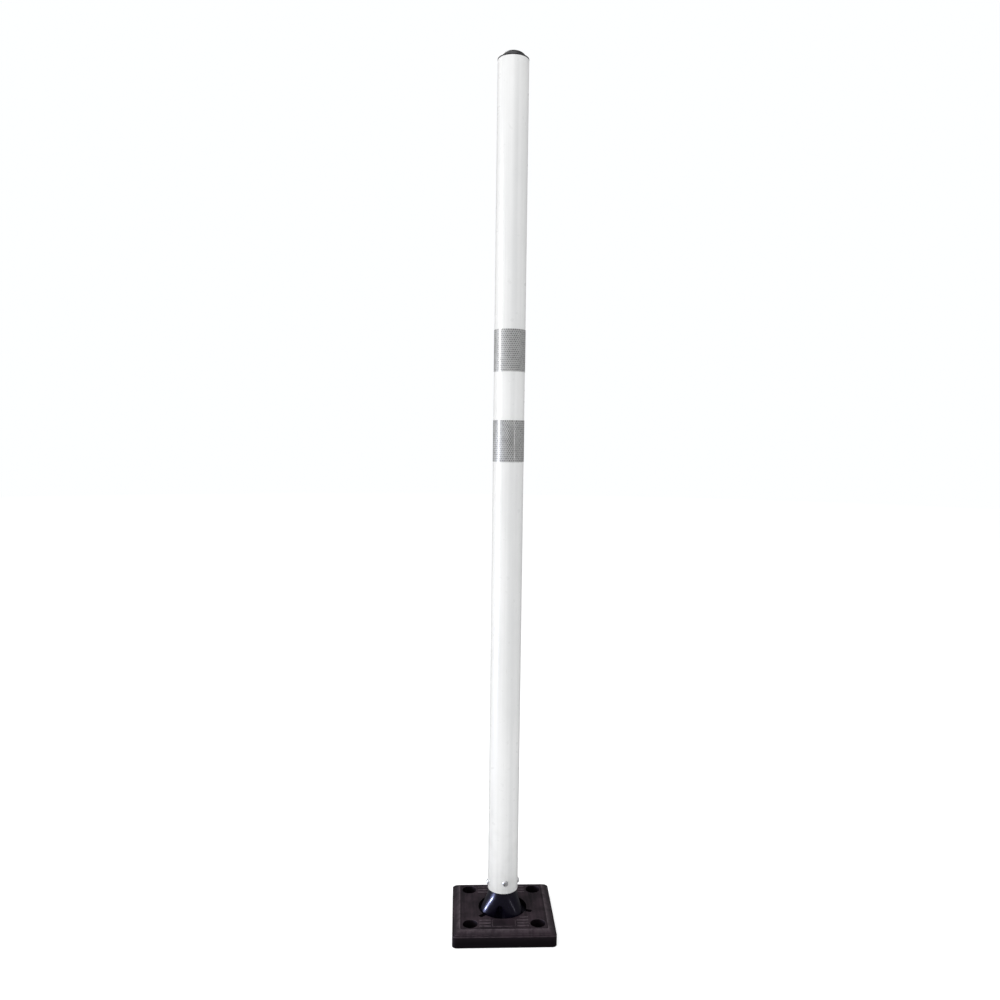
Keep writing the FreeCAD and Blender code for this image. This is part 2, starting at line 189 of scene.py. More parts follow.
@dataclass
class Shell:
    """Collects loops of points, joins them with faces and makes one closed mesh.

    Attributes:
        points: Every point so far.
        wear_and_highlight: How worn each point is, which also sets a painted highlight.
        faces: Faces as point numbers.
        flats: Groups of loops, each to be closed with flat faces.
    """

    points: list[Vector] = field(default_factory=list)
    wear_and_highlight: list[float] = field(default_factory=list)
    faces: list[tuple[int, ...]] = field(default_factory=list)
    flats: list[list[list[int]]] = field(default_factory=list)

    def loop(self, points: Iterable[Sequence[float]], wear_and_highlight: float = 0.0) -> list[int]:
        """Adds a loop of points.

        Args:
            points: The loop's points in order.
            wear_and_highlight: How worn they are, which also sets a painted highlight.

        Returns:
            The numbers of the new points.
        """
        first = len(self.points)
        self.points += [Vector(point) for point in points]
        self.wear_and_highlight += [wear_and_highlight] * (len(self.points) - first)
        return list(range(first, len(self.points)))

    def bridge(self, lower: list[int], upper: list[int]) -> None:
        """Joins two loops with a band of faces; a loop of one point makes a fan."""
        size = max(len(lower), len(upper))
        for index in range(size):
            after = (index + 1) % size
            if len(upper) == 1:
                self.faces.append((lower[index], lower[after], upper[0]))
            elif len(lower) == 1:
                self.faces.append((lower[0], upper[after], upper[index]))
            else:
                self.faces.append((lower[index], lower[after], upper[after], upper[index]))

    def stack(self, loops: Iterable[list[int]]) -> list[list[int]]:
        """Joins each loop to the next and returns them all."""
        made = list(loops)
        for lower, upper in zip(made, made[1:]):
            self.bridge(lower, upper)
        return made

    def rise(
        self,
        stations: Iterable[Station],
        outline: Callable[[Station], Iterable[Sequence[float]]],
    ) -> list[list[int]]:
        """Stacks one loop for each station of a profile.

        Args:
            stations: The profile.
            outline: Gives the points of a station's loop.

        Returns:
            The loops in order.
        """
        return self.stack(self.loop(outline(s), s.wear_and_highlight) for s in stations)

    def flat(self, *loops: list[int]) -> None:
        """Closes the level area between loops, an outer one and any holes."""
        self.flats.append(list(loops))

    def lathe(self, stations: Sequence[Station], segments: int, closed: bool = False) -> None:
        """Turns a profile round the Z axis.

        Args:
            stations: The profile; a station on the axis becomes a pole.
            segments: Number of spans round the axis.
            closed: Whether the profile joins up with itself.
        """
        rings = []
        for station in stations:
            if station.across < ON_AXIS:
                rings.append(self.loop([(0, 0, station.height)], station.wear_and_highlight))
            else:
                ring = circle(station.across, station.height, segments)
                rings.append(self.loop(ring, station.wear_and_highlight))
        self.stack(rings)
        if closed:
            self.bridge(rings[-1], rings[0])

    def piece(self, name: str, material: Material) -> bpy.types.Object:
        """Makes the mesh, turns its faces outwards and puts it in the scene.

        Args:
            name: The piece's name.
            material: Its finish.

        Returns:
            The new object, at the origin and unturned.
        """
        mesh = bpy.data.meshes.new(name)
        build = bmesh.new()
        layer = build.verts.layers.float.new("wear_and_highlight")
        corners = [build.verts.new(point) for point in self.points]
        for corner, worn_and_lit in zip(corners, self.wear_and_highlight):
            corner[layer] = worn_and_lit
        for face in self.faces:
            build.faces.new([corners[number] for number in face])
        for loops in self.flats:
            edges = []
            for loop in loops:
                for number, after in zip(loop, loop[1:] + loop[:1]):
                    pair = (corners[number], corners[after])
                    edges.append(build.edges.get(pair) or build.edges.new(pair))
            bmesh.ops.triangle_fill(build, edges=edges, use_beauty=True, use_dissolve=False)
        bmesh.ops.recalc_face_normals(build, faces=build.faces[:])
        build.to_mesh(mesh)
        build.free()
        mesh.materials.append(material)
        return placed(name, mesh)


def placed(name: str, mesh: bpy.types.Mesh) -> bpy.types.Object:
    """Puts a mesh in the scene as a smooth-shaded object with its sharp edges kept."""
    mesh.shade_smooth()
    mesh.set_sharp_from_angle(angle=SMOOTH_ANGLE)
    made = bpy.data.objects.new(name, mesh)
    bpy.context.scene.collection.objects.link(made)
    return made


def polar(radius: float, angle: float, height: float, centre: Point = (0, 0)) -> Vector:
    """The point at a radius and an angle from a centre."""
    across, along = radius * math.cos(angle), radius * math.sin(angle)
    return Vector((centre[0] + across, centre[1] + along, height))


def circle(radius: float, height: float, segments: int, centre: Point = (0, 0)) -> list[Vector]:
    """Points of a level circle, anticlockwise from +X."""
    step = FULL_TURN / segments
    return [polar(radius, step * index, height, centre) for index in range(segments)]


def rounded_rectangle(
    half_x: float,
    half_y: float,
    radius: float,
    height: float,
    steps: int = 8,
    centre: Point = (0, 0),
) -> list[Vector]:
    """Points of a level rectangle with rounded corners, anticlockwise.

    Args:
        half_x: Half its size along X.
        half_y: Half its size along Y.
        radius: Corner radius.
        height: Its height.
        steps: Number of spans in each corner.
        centre: Its centre in plan.

    Returns:
        The loop's points.
    """
    points = []
    for quarter, (side_x, side_y) in enumerate(((1, 1), (-1, 1), (-1, -1), (1, -1))):
        middle_x = centre[0] + side_x * (half_x - radius)
        middle_y = centre[1] + side_y * (half_y - radius)
        for step in range(steps + 1):
            angle = math.pi / 2 * (quarter + step / steps)
            points.append(polar(radius, angle, height, (middle_x, middle_y)))
    return points


def span(start: float, end: float, steps: int) -> list[float]:
    """Evenly spaced values from start to end, both included."""
    return [start + (end - start) * index / steps for index in range(steps + 1)]


def joined(name: str, parts: Sequence[bpy.types.Object]) -> bpy.types.Object:
    """Joins objects that share one finish into a single piece.

    Args:
        name: The joined piece's name.
        parts: The objects, which are used up.

    Returns:
        The joined piece.
    """
    build = bmesh.new()
    for part in parts:
        build.from_mesh(part.data)
    mesh = bpy.data.meshes.new(name)
    build.to_mesh(mesh)
    build.free()
    mesh.materials.append(parts[0].data.materials[0])
    for part in parts:
        bpy.data.objects.remove(part)
    return placed(name, mesh)


# ------------------------------------------------------------- node helpers


@dataclass
class NodeTree:
    """Adds and links nodes in a tree.

    Attributes:
        tree: The node tree.
    """

    tree: bpy.types.NodeTree

    def node(self, kind: str, *inputs: object, **options: object) -> bpy.types.Node:
        """Adds a node.

        Args:
            kind: The node's type.
            inputs: Values or sockets for its inputs in order; None skips one.
            options: The node's own settings.

        Returns:
            The node.
        """
        made = self.tree.nodes.new(kind)
        for key, value in options.items():
            setattr(made, key, value)
        for place, value in enumerate(inputs):
            self.feed(made.inputs[place], value)
        return made

    def feed(self, socket: Socket, value: object) -> None:
        """Links a socket to an input, or sets the input to a value; None leaves it."""
        if isinstance(value, Socket):
            self.tree.links.new(value, socket)
        elif value is not None:
            socket.default_value = value

    def sum(self, operation: str, *values: object) -> Socket:
        """The result of a Math node."""
        return self.node("ShaderNodeMath", *values, operation=operation).outputs[0]

    def times(self, first: object, second: object) -> Socket:
        """The product of two values."""
        return self.sum("MULTIPLY", first, second)

    def scaled(self, value: object, factor: object, offset: object) -> Socket:
        """A value times a factor, plus an offset."""
        return self.sum("MULTIPLY_ADD", value, factor, offset)


class Graph(NodeTree):
    """Makes and links the nodes of one material."""

    def __init__(self, name: str, **surface: float | tuple[float, ...]) -> None:
        """Starts a material.

        Args:
            name: The material's name.
            surface: Shader settings that are the same all over, spaces written as _.
        """
        self.material = bpy.data.materials.new(name)
        self.material.use_nodes = True
        super().__init__(self.material.node_tree)
        self.tree.nodes.clear()
        self.shader = self.tree.nodes.new("ShaderNodeBsdfPrincipled")
        output = self.tree.nodes.new("ShaderNodeOutputMaterial")
        self.tree.links.new(self.shader.outputs["BSDF"], output.inputs["Surface"])
        for key, value in surface.items():
            self.shader.inputs[key.replace("_", " ")].default_value = value

    def vector(self, operation: str, *values: object) -> Socket:
        """The result of a Vector Math node that gives a vector."""
        return self.node("ShaderNodeVectorMath", *values, operation=operation).outputs["Vector"]

    def place(self, stretch: Sequence[float] = (1, 1, 1)) -> Socket:
        """Object coordinates, stretched by a factor along each axis."""
        source = self.node("ShaderNodeTexCoord").outputs["Object"]
        return self.vector("MULTIPLY", source, tuple(stretch))

    def facing_up(self) -> Socket:
        """The surface normal's vertical part."""
        normal = self.node("ShaderNodeTexCoord").outputs["Normal"]
        return self.node("ShaderNodeSeparateXYZ", normal).outputs["Z"]

    def axes(self, vector: Socket) -> bpy.types.Node:
        """A node whose X, Y and Z outputs are the vector's parts."""
        return self.node("ShaderNodeSeparateXYZ", vector)

    def worn_and_lit(self) -> Socket:
        """How worn the surface is, as its mesh says; some finishes also paint a highlight by it."""
        return self.node("ShaderNodeAttribute", attribute_name="wear_and_highlight").outputs["Fac"]

    def noise(self, place: Socket, scale: float, detail: float = 3.0) -> Socket:
        """Soft noise from 0 to 1."""
        made = self.node("ShaderNodeTexNoise", place)
        made.inputs["Scale"].default_value = scale
        made.inputs["Detail"].default_value = detail
        return made.outputs[0]

    def remap(
        self, value: object, low: float, high: float, to_low: float = 0.0, to_high: float = 1.0
    ) -> Socket:
        """A value eased from one range to another and held at its ends."""
        limits = (low, high, to_low, to_high)
        made = self.node("ShaderNodeMapRange", value, *limits, interpolation_type="SMOOTHSTEP")
        return made.outputs[0]

    def blend(self, share: object, first: object, second: object) -> Socket:
        """A colour between two colours."""
        made = self.node("ShaderNodeMix", data_type="RGBA")
        for place, value in ((0, share), (6, first), (7, second)):
            self.feed(made.inputs[place], value)
        return made.outputs[2]

    def bump(self, height: Socket, depth: float, under: object = None) -> Socket:
        """A bumped normal.

        Args:
            height: Relief from 0 to 1.
            depth: The relief's depth in metres.
            under: The normal to add it to.

        Returns:
            The normal.
        """
        made = self.node("ShaderNodeBump")
        made.inputs["Distance"].default_value = depth
        self.tree.links.new(height, made.inputs["Height"])
        if under is not None:
            self.tree.links.new(under, made.inputs["Normal"])
        return made.outputs["Normal"]

    def finish(self, **sockets: Socket) -> Material:
        """Links sockets to the shader's inputs and returns the material."""
        for key, socket in sockets.items():
            self.tree.links.new(socket, self.shader.inputs[key.replace("_", " ")])
        return self.material


def grey(level: float, warmth: float = 0.0) -> Colour:
    """A grey, slightly warm or, below zero, slightly cool."""
    return (level * (1 + warmth), level, level * (1 - warmth), 1.0)


# ----------------------------------------------------------------- finishes


@dataclass(frozen=True)
class BaseRubber:
    """Moulded recycled rubber, matte and faintly streaked, paler where it is rubbed, with painted highlights along
    its edges, painted light on its level tops and painted shade low down.

    Attributes:
        dark: Colour of the clean rubber.
        pale: Colour of its bloom and dust, kept mostly to faces that look up, which also paints light on the level
            tops.
        worn_and_lit: Colour of the rubbed edges, which is also their painted highlight.
        painted_shade: Painted shade that everything low down falls towards, darkening the anchor holes, the well
            and the wall.
        painted_shade_heights: Heights between which that painted shade fades out.
        quiet_radius: Radius inside which the streaks fade.
    """

    dark: Colour = (0.0065, 0.0045, 0.0065, 1)
    pale: Colour = (0.05, 0.033, 0.042, 1)
    worn_and_lit: Colour = (0.21, 0.175, 0.195, 1)
    painted_shade: Colour = (0.001, 0.001, 0.001, 1)
    painted_shade_heights: tuple[float, float] = (8 * MM, 27 * MM)
    quiet_radius: float = 49 * MM

    def material(self) -> Material:
        """Makes the material."""
        tint = (1.0, 0.76, 0.94, 1.0)
        graph = Graph(Slot.RUBBER.value, Specular_IOR_Level=0.2, Specular_Tint=tint)
        place = graph.place()
        parts = graph.axes(place)
        up = graph.remap(graph.facing_up(), 0.72, 0.97)
        cloud = graph.remap(graph.noise(place, 24, 5), 0.36, 0.66)
        streak = graph.remap(graph.noise(graph.place((210, 9, 30)), 1, 4), 0.38, 0.66)
        across = graph.sum("ABSOLUTE", parts.outputs["X"])
        sides = graph.remap(across, self.quiet_radius * 0.5, self.quiet_radius)
        bloom_and_painted_light = graph.times(streak, graph.scaled(sides, 0.6, 0.4))
        bloom_and_painted_light = graph.scaled(cloud, 0.55, graph.times(bloom_and_painted_light, 0.32))
        # Bloom and dust mostly on faces that look up: painted light on the level tops and painted shade on the
        # walls and slopes.
        bloom_and_painted_light = graph.times(bloom_and_painted_light, graph.scaled(up, 0.9, 0.1))
        colour = graph.blend(bloom_and_painted_light, self.dark, self.pale)
        worn_and_lit = graph.worn_and_lit()
        patchy = graph.remap(graph.noise(place, 130, 4), 0.3, 0.62, 0.35, 1.0)
        worn_and_lit = graph.times(worn_and_lit, patchy)
        # Rubbed edges, which are also painted highlights along the lip, the groove, the ribs and the holes'
        # mouths.
        colour = graph.blend(worn_and_lit, colour, self.worn_and_lit)
        speck = graph.remap(graph.noise(place, 1500, 2), 0.62, 0.72, 0.0, 0.1)
        colour = graph.blend(speck, colour, self.worn_and_lit)
        # Painted shade: darker towards the bottom, so the anchor holes, the well and the wall fall dark.
        unshaded_share = graph.remap(parts.outputs["Z"], *self.painted_shade_heights, 0.1, 1.0)
        colour = graph.blend(unshaded_share, self.painted_shade, colour)
        grain = graph.noise(place, 1100, 3)
        rough = graph.scaled(graph.noise(place, 60, 4), 0.2, 0.34)
        rough = graph.scaled(grain, 0.12, rough)
        normal = graph.bump(grain, 0.00022)
        normal = graph.bump(streak, 0.00005, normal)
        normal = graph.bump(graph.noise(place, 40, 2), 0.0009, normal)
        return graph.finish(Base_Color=colour, Roughness=rough, Normal=normal)


@dataclass(frozen=True)
class HingeUrethane:
    """Glossy black urethane with faint flow marks, scuffs and dust.

    Attributes:
        clean: Colour of the clean urethane.
        dusty: Colour of the dust that lies on it.
        scuffed: Colour of light scuffs.
    """

    clean: Colour = (0.003, 0.002, 0.007, 1)
    dusty: Colour = (0.014, 0.012, 0.015, 1)
    scuffed: Colour = (0.03, 0.03, 0.04, 1)

    def material(self) -> Material:
        """Makes the material."""
        graph = Graph(
            Slot.URETHANE.value,
            Specular_IOR_Level=0.3,
            Specular_Tint=(0.75, 0.7, 1.0, 1.0),
            Coat_Weight=0.22,
            Coat_Roughness=0.14,
        )
        place = graph.place()
        dust = graph.remap(graph.noise(place, 55, 5), 0.45, 0.75, 0.0, 0.55)
        dust = graph.times(dust, graph.remap(graph.facing_up(), 0.2, 0.95, 0.25, 1.0))
        colour = graph.blend(dust, self.clean, self.dusty)
        scuff = graph.remap(graph.noise(graph.place((260, 260, 70)), 1, 4), 0.66, 0.76, 0.0, 0.6)
        colour = graph.blend(scuff, colour, self.scuffed)
        rough = graph.scaled(graph.noise(place, 120, 4), 0.16, 0.22)
        rough = graph.scaled(scuff, 0.3, rough)
        normal = graph.bump(graph.noise(place, 45, 2), 0.0003)
        normal = graph.bump(graph.noise(place, 900, 2), 0.000015, normal)
        return graph.finish(Base_Color=colour, Roughness=rough, Normal=normal)


@dataclass(frozen=True)
class PostWhite:
    """Extruded white plastic with a soft gloss, faint draw lines and a dusty foot.

    Attributes:
        bright: Colour of the clean plastic.
        shaded: Colour of its duller streaks.
        dirty: Colour of the road film near the ground.
        foot: Height at which the road film starts.
        film: Height over which it fades out.
    """

    bright: Colour = (0.87, 0.87, 0.865, 1)
    shaded: Colour = (0.765, 0.768, 0.765, 1)
    dirty: Colour = (0.5, 0.49, 0.47, 1)
    foot: float = 70 * MM
    film: float = 260 * MM

    def material(self) -> Material:
        """Makes the material."""
        graph = Graph(Slot.POST.value, IOR=1.5, Coat_Weight=0.3, Coat_Roughness=0.12)
        place = graph.place()
        height = graph.axes(place).outputs["Z"]
        draw = graph.noise(graph.place((95, 95, 0.7)), 1, 4)
        fine = graph.noise(graph.place((900, 900, 3)), 1, 3)
        cloud = graph.noise(graph.place((14, 14, 4)), 1, 4)
        tone = graph.scaled(cloud, 0.45, graph.times(draw, 0.55))
        colour = graph.blend(graph.remap(tone, 0.36, 0.66), self.bright, self.shaded)
        low = graph.remap(height, self.foot, self.foot + self.film, 0.22, 0.03)
        film = graph.times(low, graph.remap(graph.noise(place, 35, 6), 0.45, 0.75))
        colour = graph.blend(film, colour, self.dirty)
        rub = graph.remap(graph.noise(graph.place((420, 420, 26)), 1, 5), 0.68, 0.78, 0.0, 0.35)
        colour = graph.blend(rub, colour, self.dirty)
        worn_and_lit = graph.worn_and_lit()
        colour = graph.blend(graph.times(worn_and_lit, 0.5), colour, self.dirty)
        rough = graph.scaled(graph.noise(place, 70, 4), 0.16, 0.22)
        rough = graph.scaled(graph.sum("ADD", film, rub), 0.35, rough)
        normal = graph.bump(fine, 0.00002)
        normal = graph.bump(draw, 0.00025, normal)
        return graph.finish(Base_Color=colour, Roughness=rough, Normal=normal)


@dataclass(frozen=True)
class CapBlack:
    """Moulded black plastic with a satin skin, paler at its rubbed rim, where a highlight is also painted.

    Attributes:
        clean: Colour of the clean plastic.
        chalky: Colour where it has gone chalky.
        worn_and_lit: Colour of the rubbed rim, which is also its painted highlight.
    """

    clean: Colour = (0.012, 0.012, 0.014, 1)
    chalky: Colour = (0.05, 0.05, 0.055, 1)
    worn_and_lit: Colour = (0.22, 0.22, 0.23, 1)

    def material(self) -> Material:
        """Makes the material."""
        graph = Graph(Slot.CAP.value, IOR=1.5, Coat_Weight=0.25, Coat_Roughness=0.14)
        place = graph.place()
        chalk = graph.remap(graph.noise(place, 90, 5), 0.42, 0.72, 0.0, 0.7)
        colour = graph.blend(chalk, self.clean, self.chalky)
        worn_and_lit = graph.worn_and_lit()
        worn_and_lit = graph.times(worn_and_lit, graph.remap(graph.noise(place, 160, 3), 0.35, 0.65))
        # Rubbed rim, which is also a painted highlight along the flange.
        colour = graph.blend(worn_and_lit, colour, self.worn_and_lit)
        rough = graph.scaled(graph.noise(place, 150, 4), 0.2, 0.24)
        rough = graph.scaled(chalk, 0.15, rough)
        normal = graph.bump(graph.noise(place, 1400, 2), 0.00005)
        return graph.finish(Base_Color=colour, Roughness=rough, Normal=normal)


@dataclass(frozen=True)
class ReflectiveSheeting:
    """Prismatic sheeting: silver-grey six-sided cells under a clear glossy film.

    Attributes:
        pitch: Distance between the cells' centres.
        silver: Colour of the brighter facets.
        slate: Colour of the darker facets.
        seal: Colour of the walls between the cells.
        seal_edge: Distances from a cell's centre, in cell widths, where its wall starts
            to show and where it is full.
        seal_share: How much of the wall's colour shows there.
    """

    pitch: float = 4.4 * MM
    silver: Colour = (0.5, 0.5, 0.495, 1)
    slate: Colour = (0.09, 0.09, 0.089, 1)
    seal: Colour = (0.95, 0.95, 0.945, 1)
    seal_edge: tuple[float, float] = (0.385, 0.455)
    seal_share: float = 0.66

    def cells(self, graph: Graph) -> tuple[Socket, ...]:
        """Lays six-sided cells over the sheeting's own map.

        Args:
            graph: The material's nodes.

        Returns:
            Each point's offset from its cell's centre, its distance towards the wall
            (0.5 at the wall) and the cell's own random value.
        """
        row = math.sqrt(3)
        chart = graph.node("ShaderNodeUVMap", uv_map="wrap").outputs["UV"]
        place = graph.vector("MULTIPLY", chart, (1 / self.pitch, 1 / self.pitch, 0))
        middle, size = (0.5, row / 2, 0), (1, row, 1)
        first = graph.vector("SUBTRACT", graph.vector("MODULO", place, size), middle)
        moved = graph.vector("MODULO", graph.vector("ADD", place, middle), size)
        second = graph.vector("SUBTRACT", moved, middle)
        reach = [
            graph.node("ShaderNodeVectorMath", offset, operation="LENGTH").outputs["Value"]
            for offset in (first, second)
        ]
        nearer = graph.sum("LESS_THAN", *reach)
        pick = graph.node("ShaderNodeMix", nearer, data_type="VECTOR")
        graph.tree.links.new(second, pick.inputs[4])
        graph.tree.links.new(first, pick.inputs[5])
        offset = pick.outputs[1]
        parts = graph.axes(graph.vector("ABSOLUTE", offset))
        slant = graph.times(parts.outputs["Y"], row / 2)
        slant = graph.scaled(parts.outputs["X"], 0.5, slant)
        wall = graph.sum("MAXIMUM", parts.outputs["X"], slant)
        centre = graph.vector("SNAP", graph.vector("SUBTRACT", place, offset), (0.25, 0.25, 1))
        chance = graph.node("ShaderNodeTexWhiteNoise", centre).outputs["Value"]
        return offset, wall, chance

    def material(self) -> Material:
        """Makes the material."""
        graph = Graph(
            Slot.SHEETING.value, IOR=1.5, Metallic=0.3, Coat_Weight=1.0, Coat_Roughness=0.05
        )
        offset, wall, chance = self.cells(graph)
        parts = graph.axes(offset)
        turn = graph.sum("ARCTAN2", parts.outputs["Y"], parts.outputs["X"])
        facet = graph.sum("PINGPONG", graph.times(turn, 3 / math.pi), 1.0)
        tone = graph.scaled(facet, 0.47, graph.times(chance, 0.16))
        place = graph.place()
        cloud = graph.noise(graph.place((40, 40, 14)), 1, 4)
        tone = graph.scaled(graph.sum("SUBTRACT", cloud, 0.5), 0.25, tone)
        colour = graph.blend(graph.remap(tone, 0.0, 0.75), self.slate, self.silver)
        seal = graph.remap(wall, *self.seal_edge)
        colour = graph.blend(graph.times(seal, self.seal_share), colour, self.seal)
        rough = graph.scaled(chance, 0.16, 0.36)
        rough = graph.scaled(seal, 0.15, rough)
        normal = graph.bump(facet, 0.00006)
        normal = graph.bump(seal, 0.00005, normal)
        film = graph.noise(graph.place((260, 260, 900)), 1, 2)
        ripple = graph.bump(film, 0.0000015)
        ripple = graph.bump(graph.noise(place, 45, 2), 0.00001, ripple)
        return graph.finish(Base_Color=colour, Roughness=rough, Normal=normal, Coat_Normal=ripple)


@dataclass(frozen=True)
class FastenerMetal:
    """Plain metal with fine hammer marks and a dull film of oxide.

    Attributes:
        slot: The material slot it is for.
        bright: Colour of the clean metal.
        dull: Colour of the oxide.
        shine: Lowest roughness.
    """

    slot: Slot
    bright: Colour = (0.8, 0.805, 0.82, 1)
    dull: Colour = (0.46, 0.46, 0.47, 1)
    shine: float = 0.2

    def material(self) -> Material:
        """Makes the material."""
        graph = Graph(self.slot.value, Metallic=0.8)
        place = graph.place()
        oxide = graph.remap(graph.noise(place, 420, 5), 0.42, 0.7)
        colour = graph.blend(oxide, self.bright, self.dull)
        rough = graph.scaled(graph.noise(place, 700, 3), 0.2, self.shine)
        rough = graph.scaled(oxide, 0.16, rough)
        normal = graph.bump(graph.noise(place, 520, 2), 0.00022)
        normal = graph.bump(graph.noise(place, 3000, 2), 0.00002, normal)
        return graph.finish(Base_Color=colour, Roughness=rough, Normal=normal)


# ------------------------------------------------------ repeated small parts


class Repeater(NodeTree):
    """A Geometry Nodes tree that repeats a mesh and turns the result into a plain mesh."""

    def __init__(self, name: str, inputs: dict[str, str]) -> None:
        """Starts a tree.

        Args:
            name: The tree's name.
            inputs: The tree's named inputs and their socket types.
        """
        super().__init__(bpy.data.node_groups.new(name, "GeometryNodeTree"))
        face = self.tree.interface
        face.new_socket("Geometry", in_out="OUTPUT", socket_type="NodeSocketGeometry")
        face.new_socket("Part", in_out="INPUT", socket_type="NodeSocketGeometry")
        for key, kind in inputs.items():
            face.new_socket(key, in_out="INPUT", socket_type=kind)
        face.new_socket("Finish", in_out="INPUT", socket_type="NodeSocketMaterial")
        self.given = self.tree.nodes.new("NodeGroupInput")

    def close(self, points: Socket, turn: object = None) -> None:
        """Ends the tree: a part on every point, made real and given its finish.

        Args:
            points: The points that the part is repeated on.
            turn: The rotation of each part, if any.
        """
        copies = self.node("GeometryNodeInstanceOnPoints", points)
        self.tree.links.new(self.given.outputs["Part"], copies.inputs["Instance"])
        if turn is not None:
            self.tree.links.new(turn, copies.inputs["Rotation"])
        real = self.node("GeometryNodeRealizeInstances", copies.outputs[0])
        dressed = self.node("GeometryNodeSetMaterial", real.outputs[0])
        self.tree.links.new(self.given.outputs["Finish"], dressed.inputs["Material"])
        output = self.tree.nodes.new("NodeGroupOutput")
        self.tree.links.new(dressed.outputs[0], output.inputs["Geometry"])

    def run(self, part: bpy.types.Object, **values: object) -> bpy.types.Object:
        """Repeats a part.

        Args:
            part: The part's object, which becomes the repeated piece.
            values: Values of the tree's named inputs, spaces written as _.

        Returns:
            The same object with the repeated, plain mesh.
        """
        finish = part.data.materials[0]
        modifier = part.modifiers.new(self.tree.name, "NODES")
        modifier.node_group = self.tree
        values = {key.replace("_", " "): value for key, value in values.items()}
        values["Finish"] = finish
        for item in self.tree.interface.items_tree:
            if item.item_type == "SOCKET" and item.in_out == "INPUT" and item.name in values:
                modifier[item.identifier] = values[item.name]
        bpy.context.view_layer.update()
        ready = part.evaluated_get(bpy.context.evaluated_depsgraph_get())
        mesh = bpy.data.meshes.new_from_object(ready)
        part.modifiers.remove(modifier)
        old, part.data = part.data, mesh
        bpy.data.meshes.remove(old)
        mesh.materials.clear()
        mesh.materials.append(finish)
        return part


def row_repeater() -> Repeater:
    """Makes the tree that lays bars in rows in the four corners of a square."""
    tree = Repeater(
        "bar_rows",
        {
            "Rows": "NodeSocketInt",
            "Across": "NodeSocketFloat",
            "First": "NodeSocketFloat",
            "Pitch": "NodeSocketFloat",
            "Height": "NodeSocketFloat",
        },
    )
    given = tree.given.outputs
    both = tree.node("GeometryNodeJoinGeometry")
    for side_x in (-1, 1):
        for side_y in (-1, 1):
            start = tree.node(
                "ShaderNodeCombineXYZ",
                tree.times(given["Across"], float(side_x)),
                tree.times(given["First"], float(side_y)),
                given["Height"],
            )
            stride = tree.times(given["Pitch"], float(side_y))
            step = tree.node("ShaderNodeCombineXYZ", 0.0, stride, 0.0)
            line = tree.node("GeometryNodeMeshLine", mode="OFFSET")
            tree.tree.links.new(given["Rows"], line.inputs["Count"])
            tree.tree.links.new(start.outputs[0], line.inputs["Start Location"])
            tree.tree.links.new(step.outputs[0], line.inputs["Offset"])
            tree.tree.links.new(line.outputs[0], both.inputs[0])
    tree.close(both.outputs[0])
    return tree


def ring_repeater() -> Repeater:
    """Makes the tree that sets parts round the Z axis at two heights in turn."""
    tree = Repeater(
        "parts_round_post",
        {
            "Count": "NodeSocketInt",
            "Turn": "NodeSocketFloat",
            "Low": "NodeSocketFloat",
            "Stagger": "NodeSocketFloat",
        },
    )
    given = tree.given.outputs
    index = tree.node("GeometryNodeInputIndex").outputs[0]
    odd = tree.sum("MODULO", index, 2.0)
    height = tree.scaled(odd, given["Stagger"], given["Low"])
    place = tree.node("ShaderNodeCombineXYZ", 0.0, 0.0, height)
    step = tree.sum("DIVIDE", FULL_TURN, given["Count"])
    angle = tree.scaled(index, step, given["Turn"])
    turn = tree.node("ShaderNodeCombineXYZ", 0.0, 0.0, angle)
    line = tree.node("GeometryNodeMeshLine", mode="OFFSET")
    tree.tree.links.new(given["Count"], line.inputs["Count"])
    line.inputs["Offset"].default_value = (0, 0, 0)
    set_place = tree.node("GeometryNodeSetPosition", line.outputs[0])
    tree.tree.links.new(place.outputs[0], set_place.inputs["Position"])
    tree.close(set_place.outputs[0], turn.outputs[0])
    return tree


# --------------------------------------------------------------- the pieces


def upright(node: str) -> tuple[float, float, float]:
    """Half the width of a CAD node, and its lower and its upper height."""
    low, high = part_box(node)
    return (high.x - low.x) / 2, low.z, high.z


def seat(
    piece: bpy.types.Object, body: Body | tuple[Body, Body, float, float], slot: Slot, *nodes: str
) -> None:
    """Ties a piece to its body, or, given two bodies, bakes its place into its mesh, and reports it.

    Args:
        piece: The finished piece.
        body: The body it rides on, or two bodies and two heights; then the piece is left unattached, only the
            bodies' names are reported and the heights are not used.
        slot: Its material slot; not used.
        nodes: The CAD nodes it stands for.
    """
    if isinstance(body, Body):
        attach(piece, body.value)
        carried = body.value
    else:
        lower, upper, start, end = body
        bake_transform(piece)
        carried = f"{lower.value} to {upper.value}"
    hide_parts(*nodes)
    LOG.info("%s: %d faces, on %s", piece.name, len(piece.data.polygons), carried)


def dress(node: str, material: Material) -> None:
    """Gives a CAD node that stays in view its finish, and reports it."""
    kept = frame["nodes"][node]
    for place in kept.material_slots:
        place.material = material
    LOG.info("%s: CAD node kept", node)


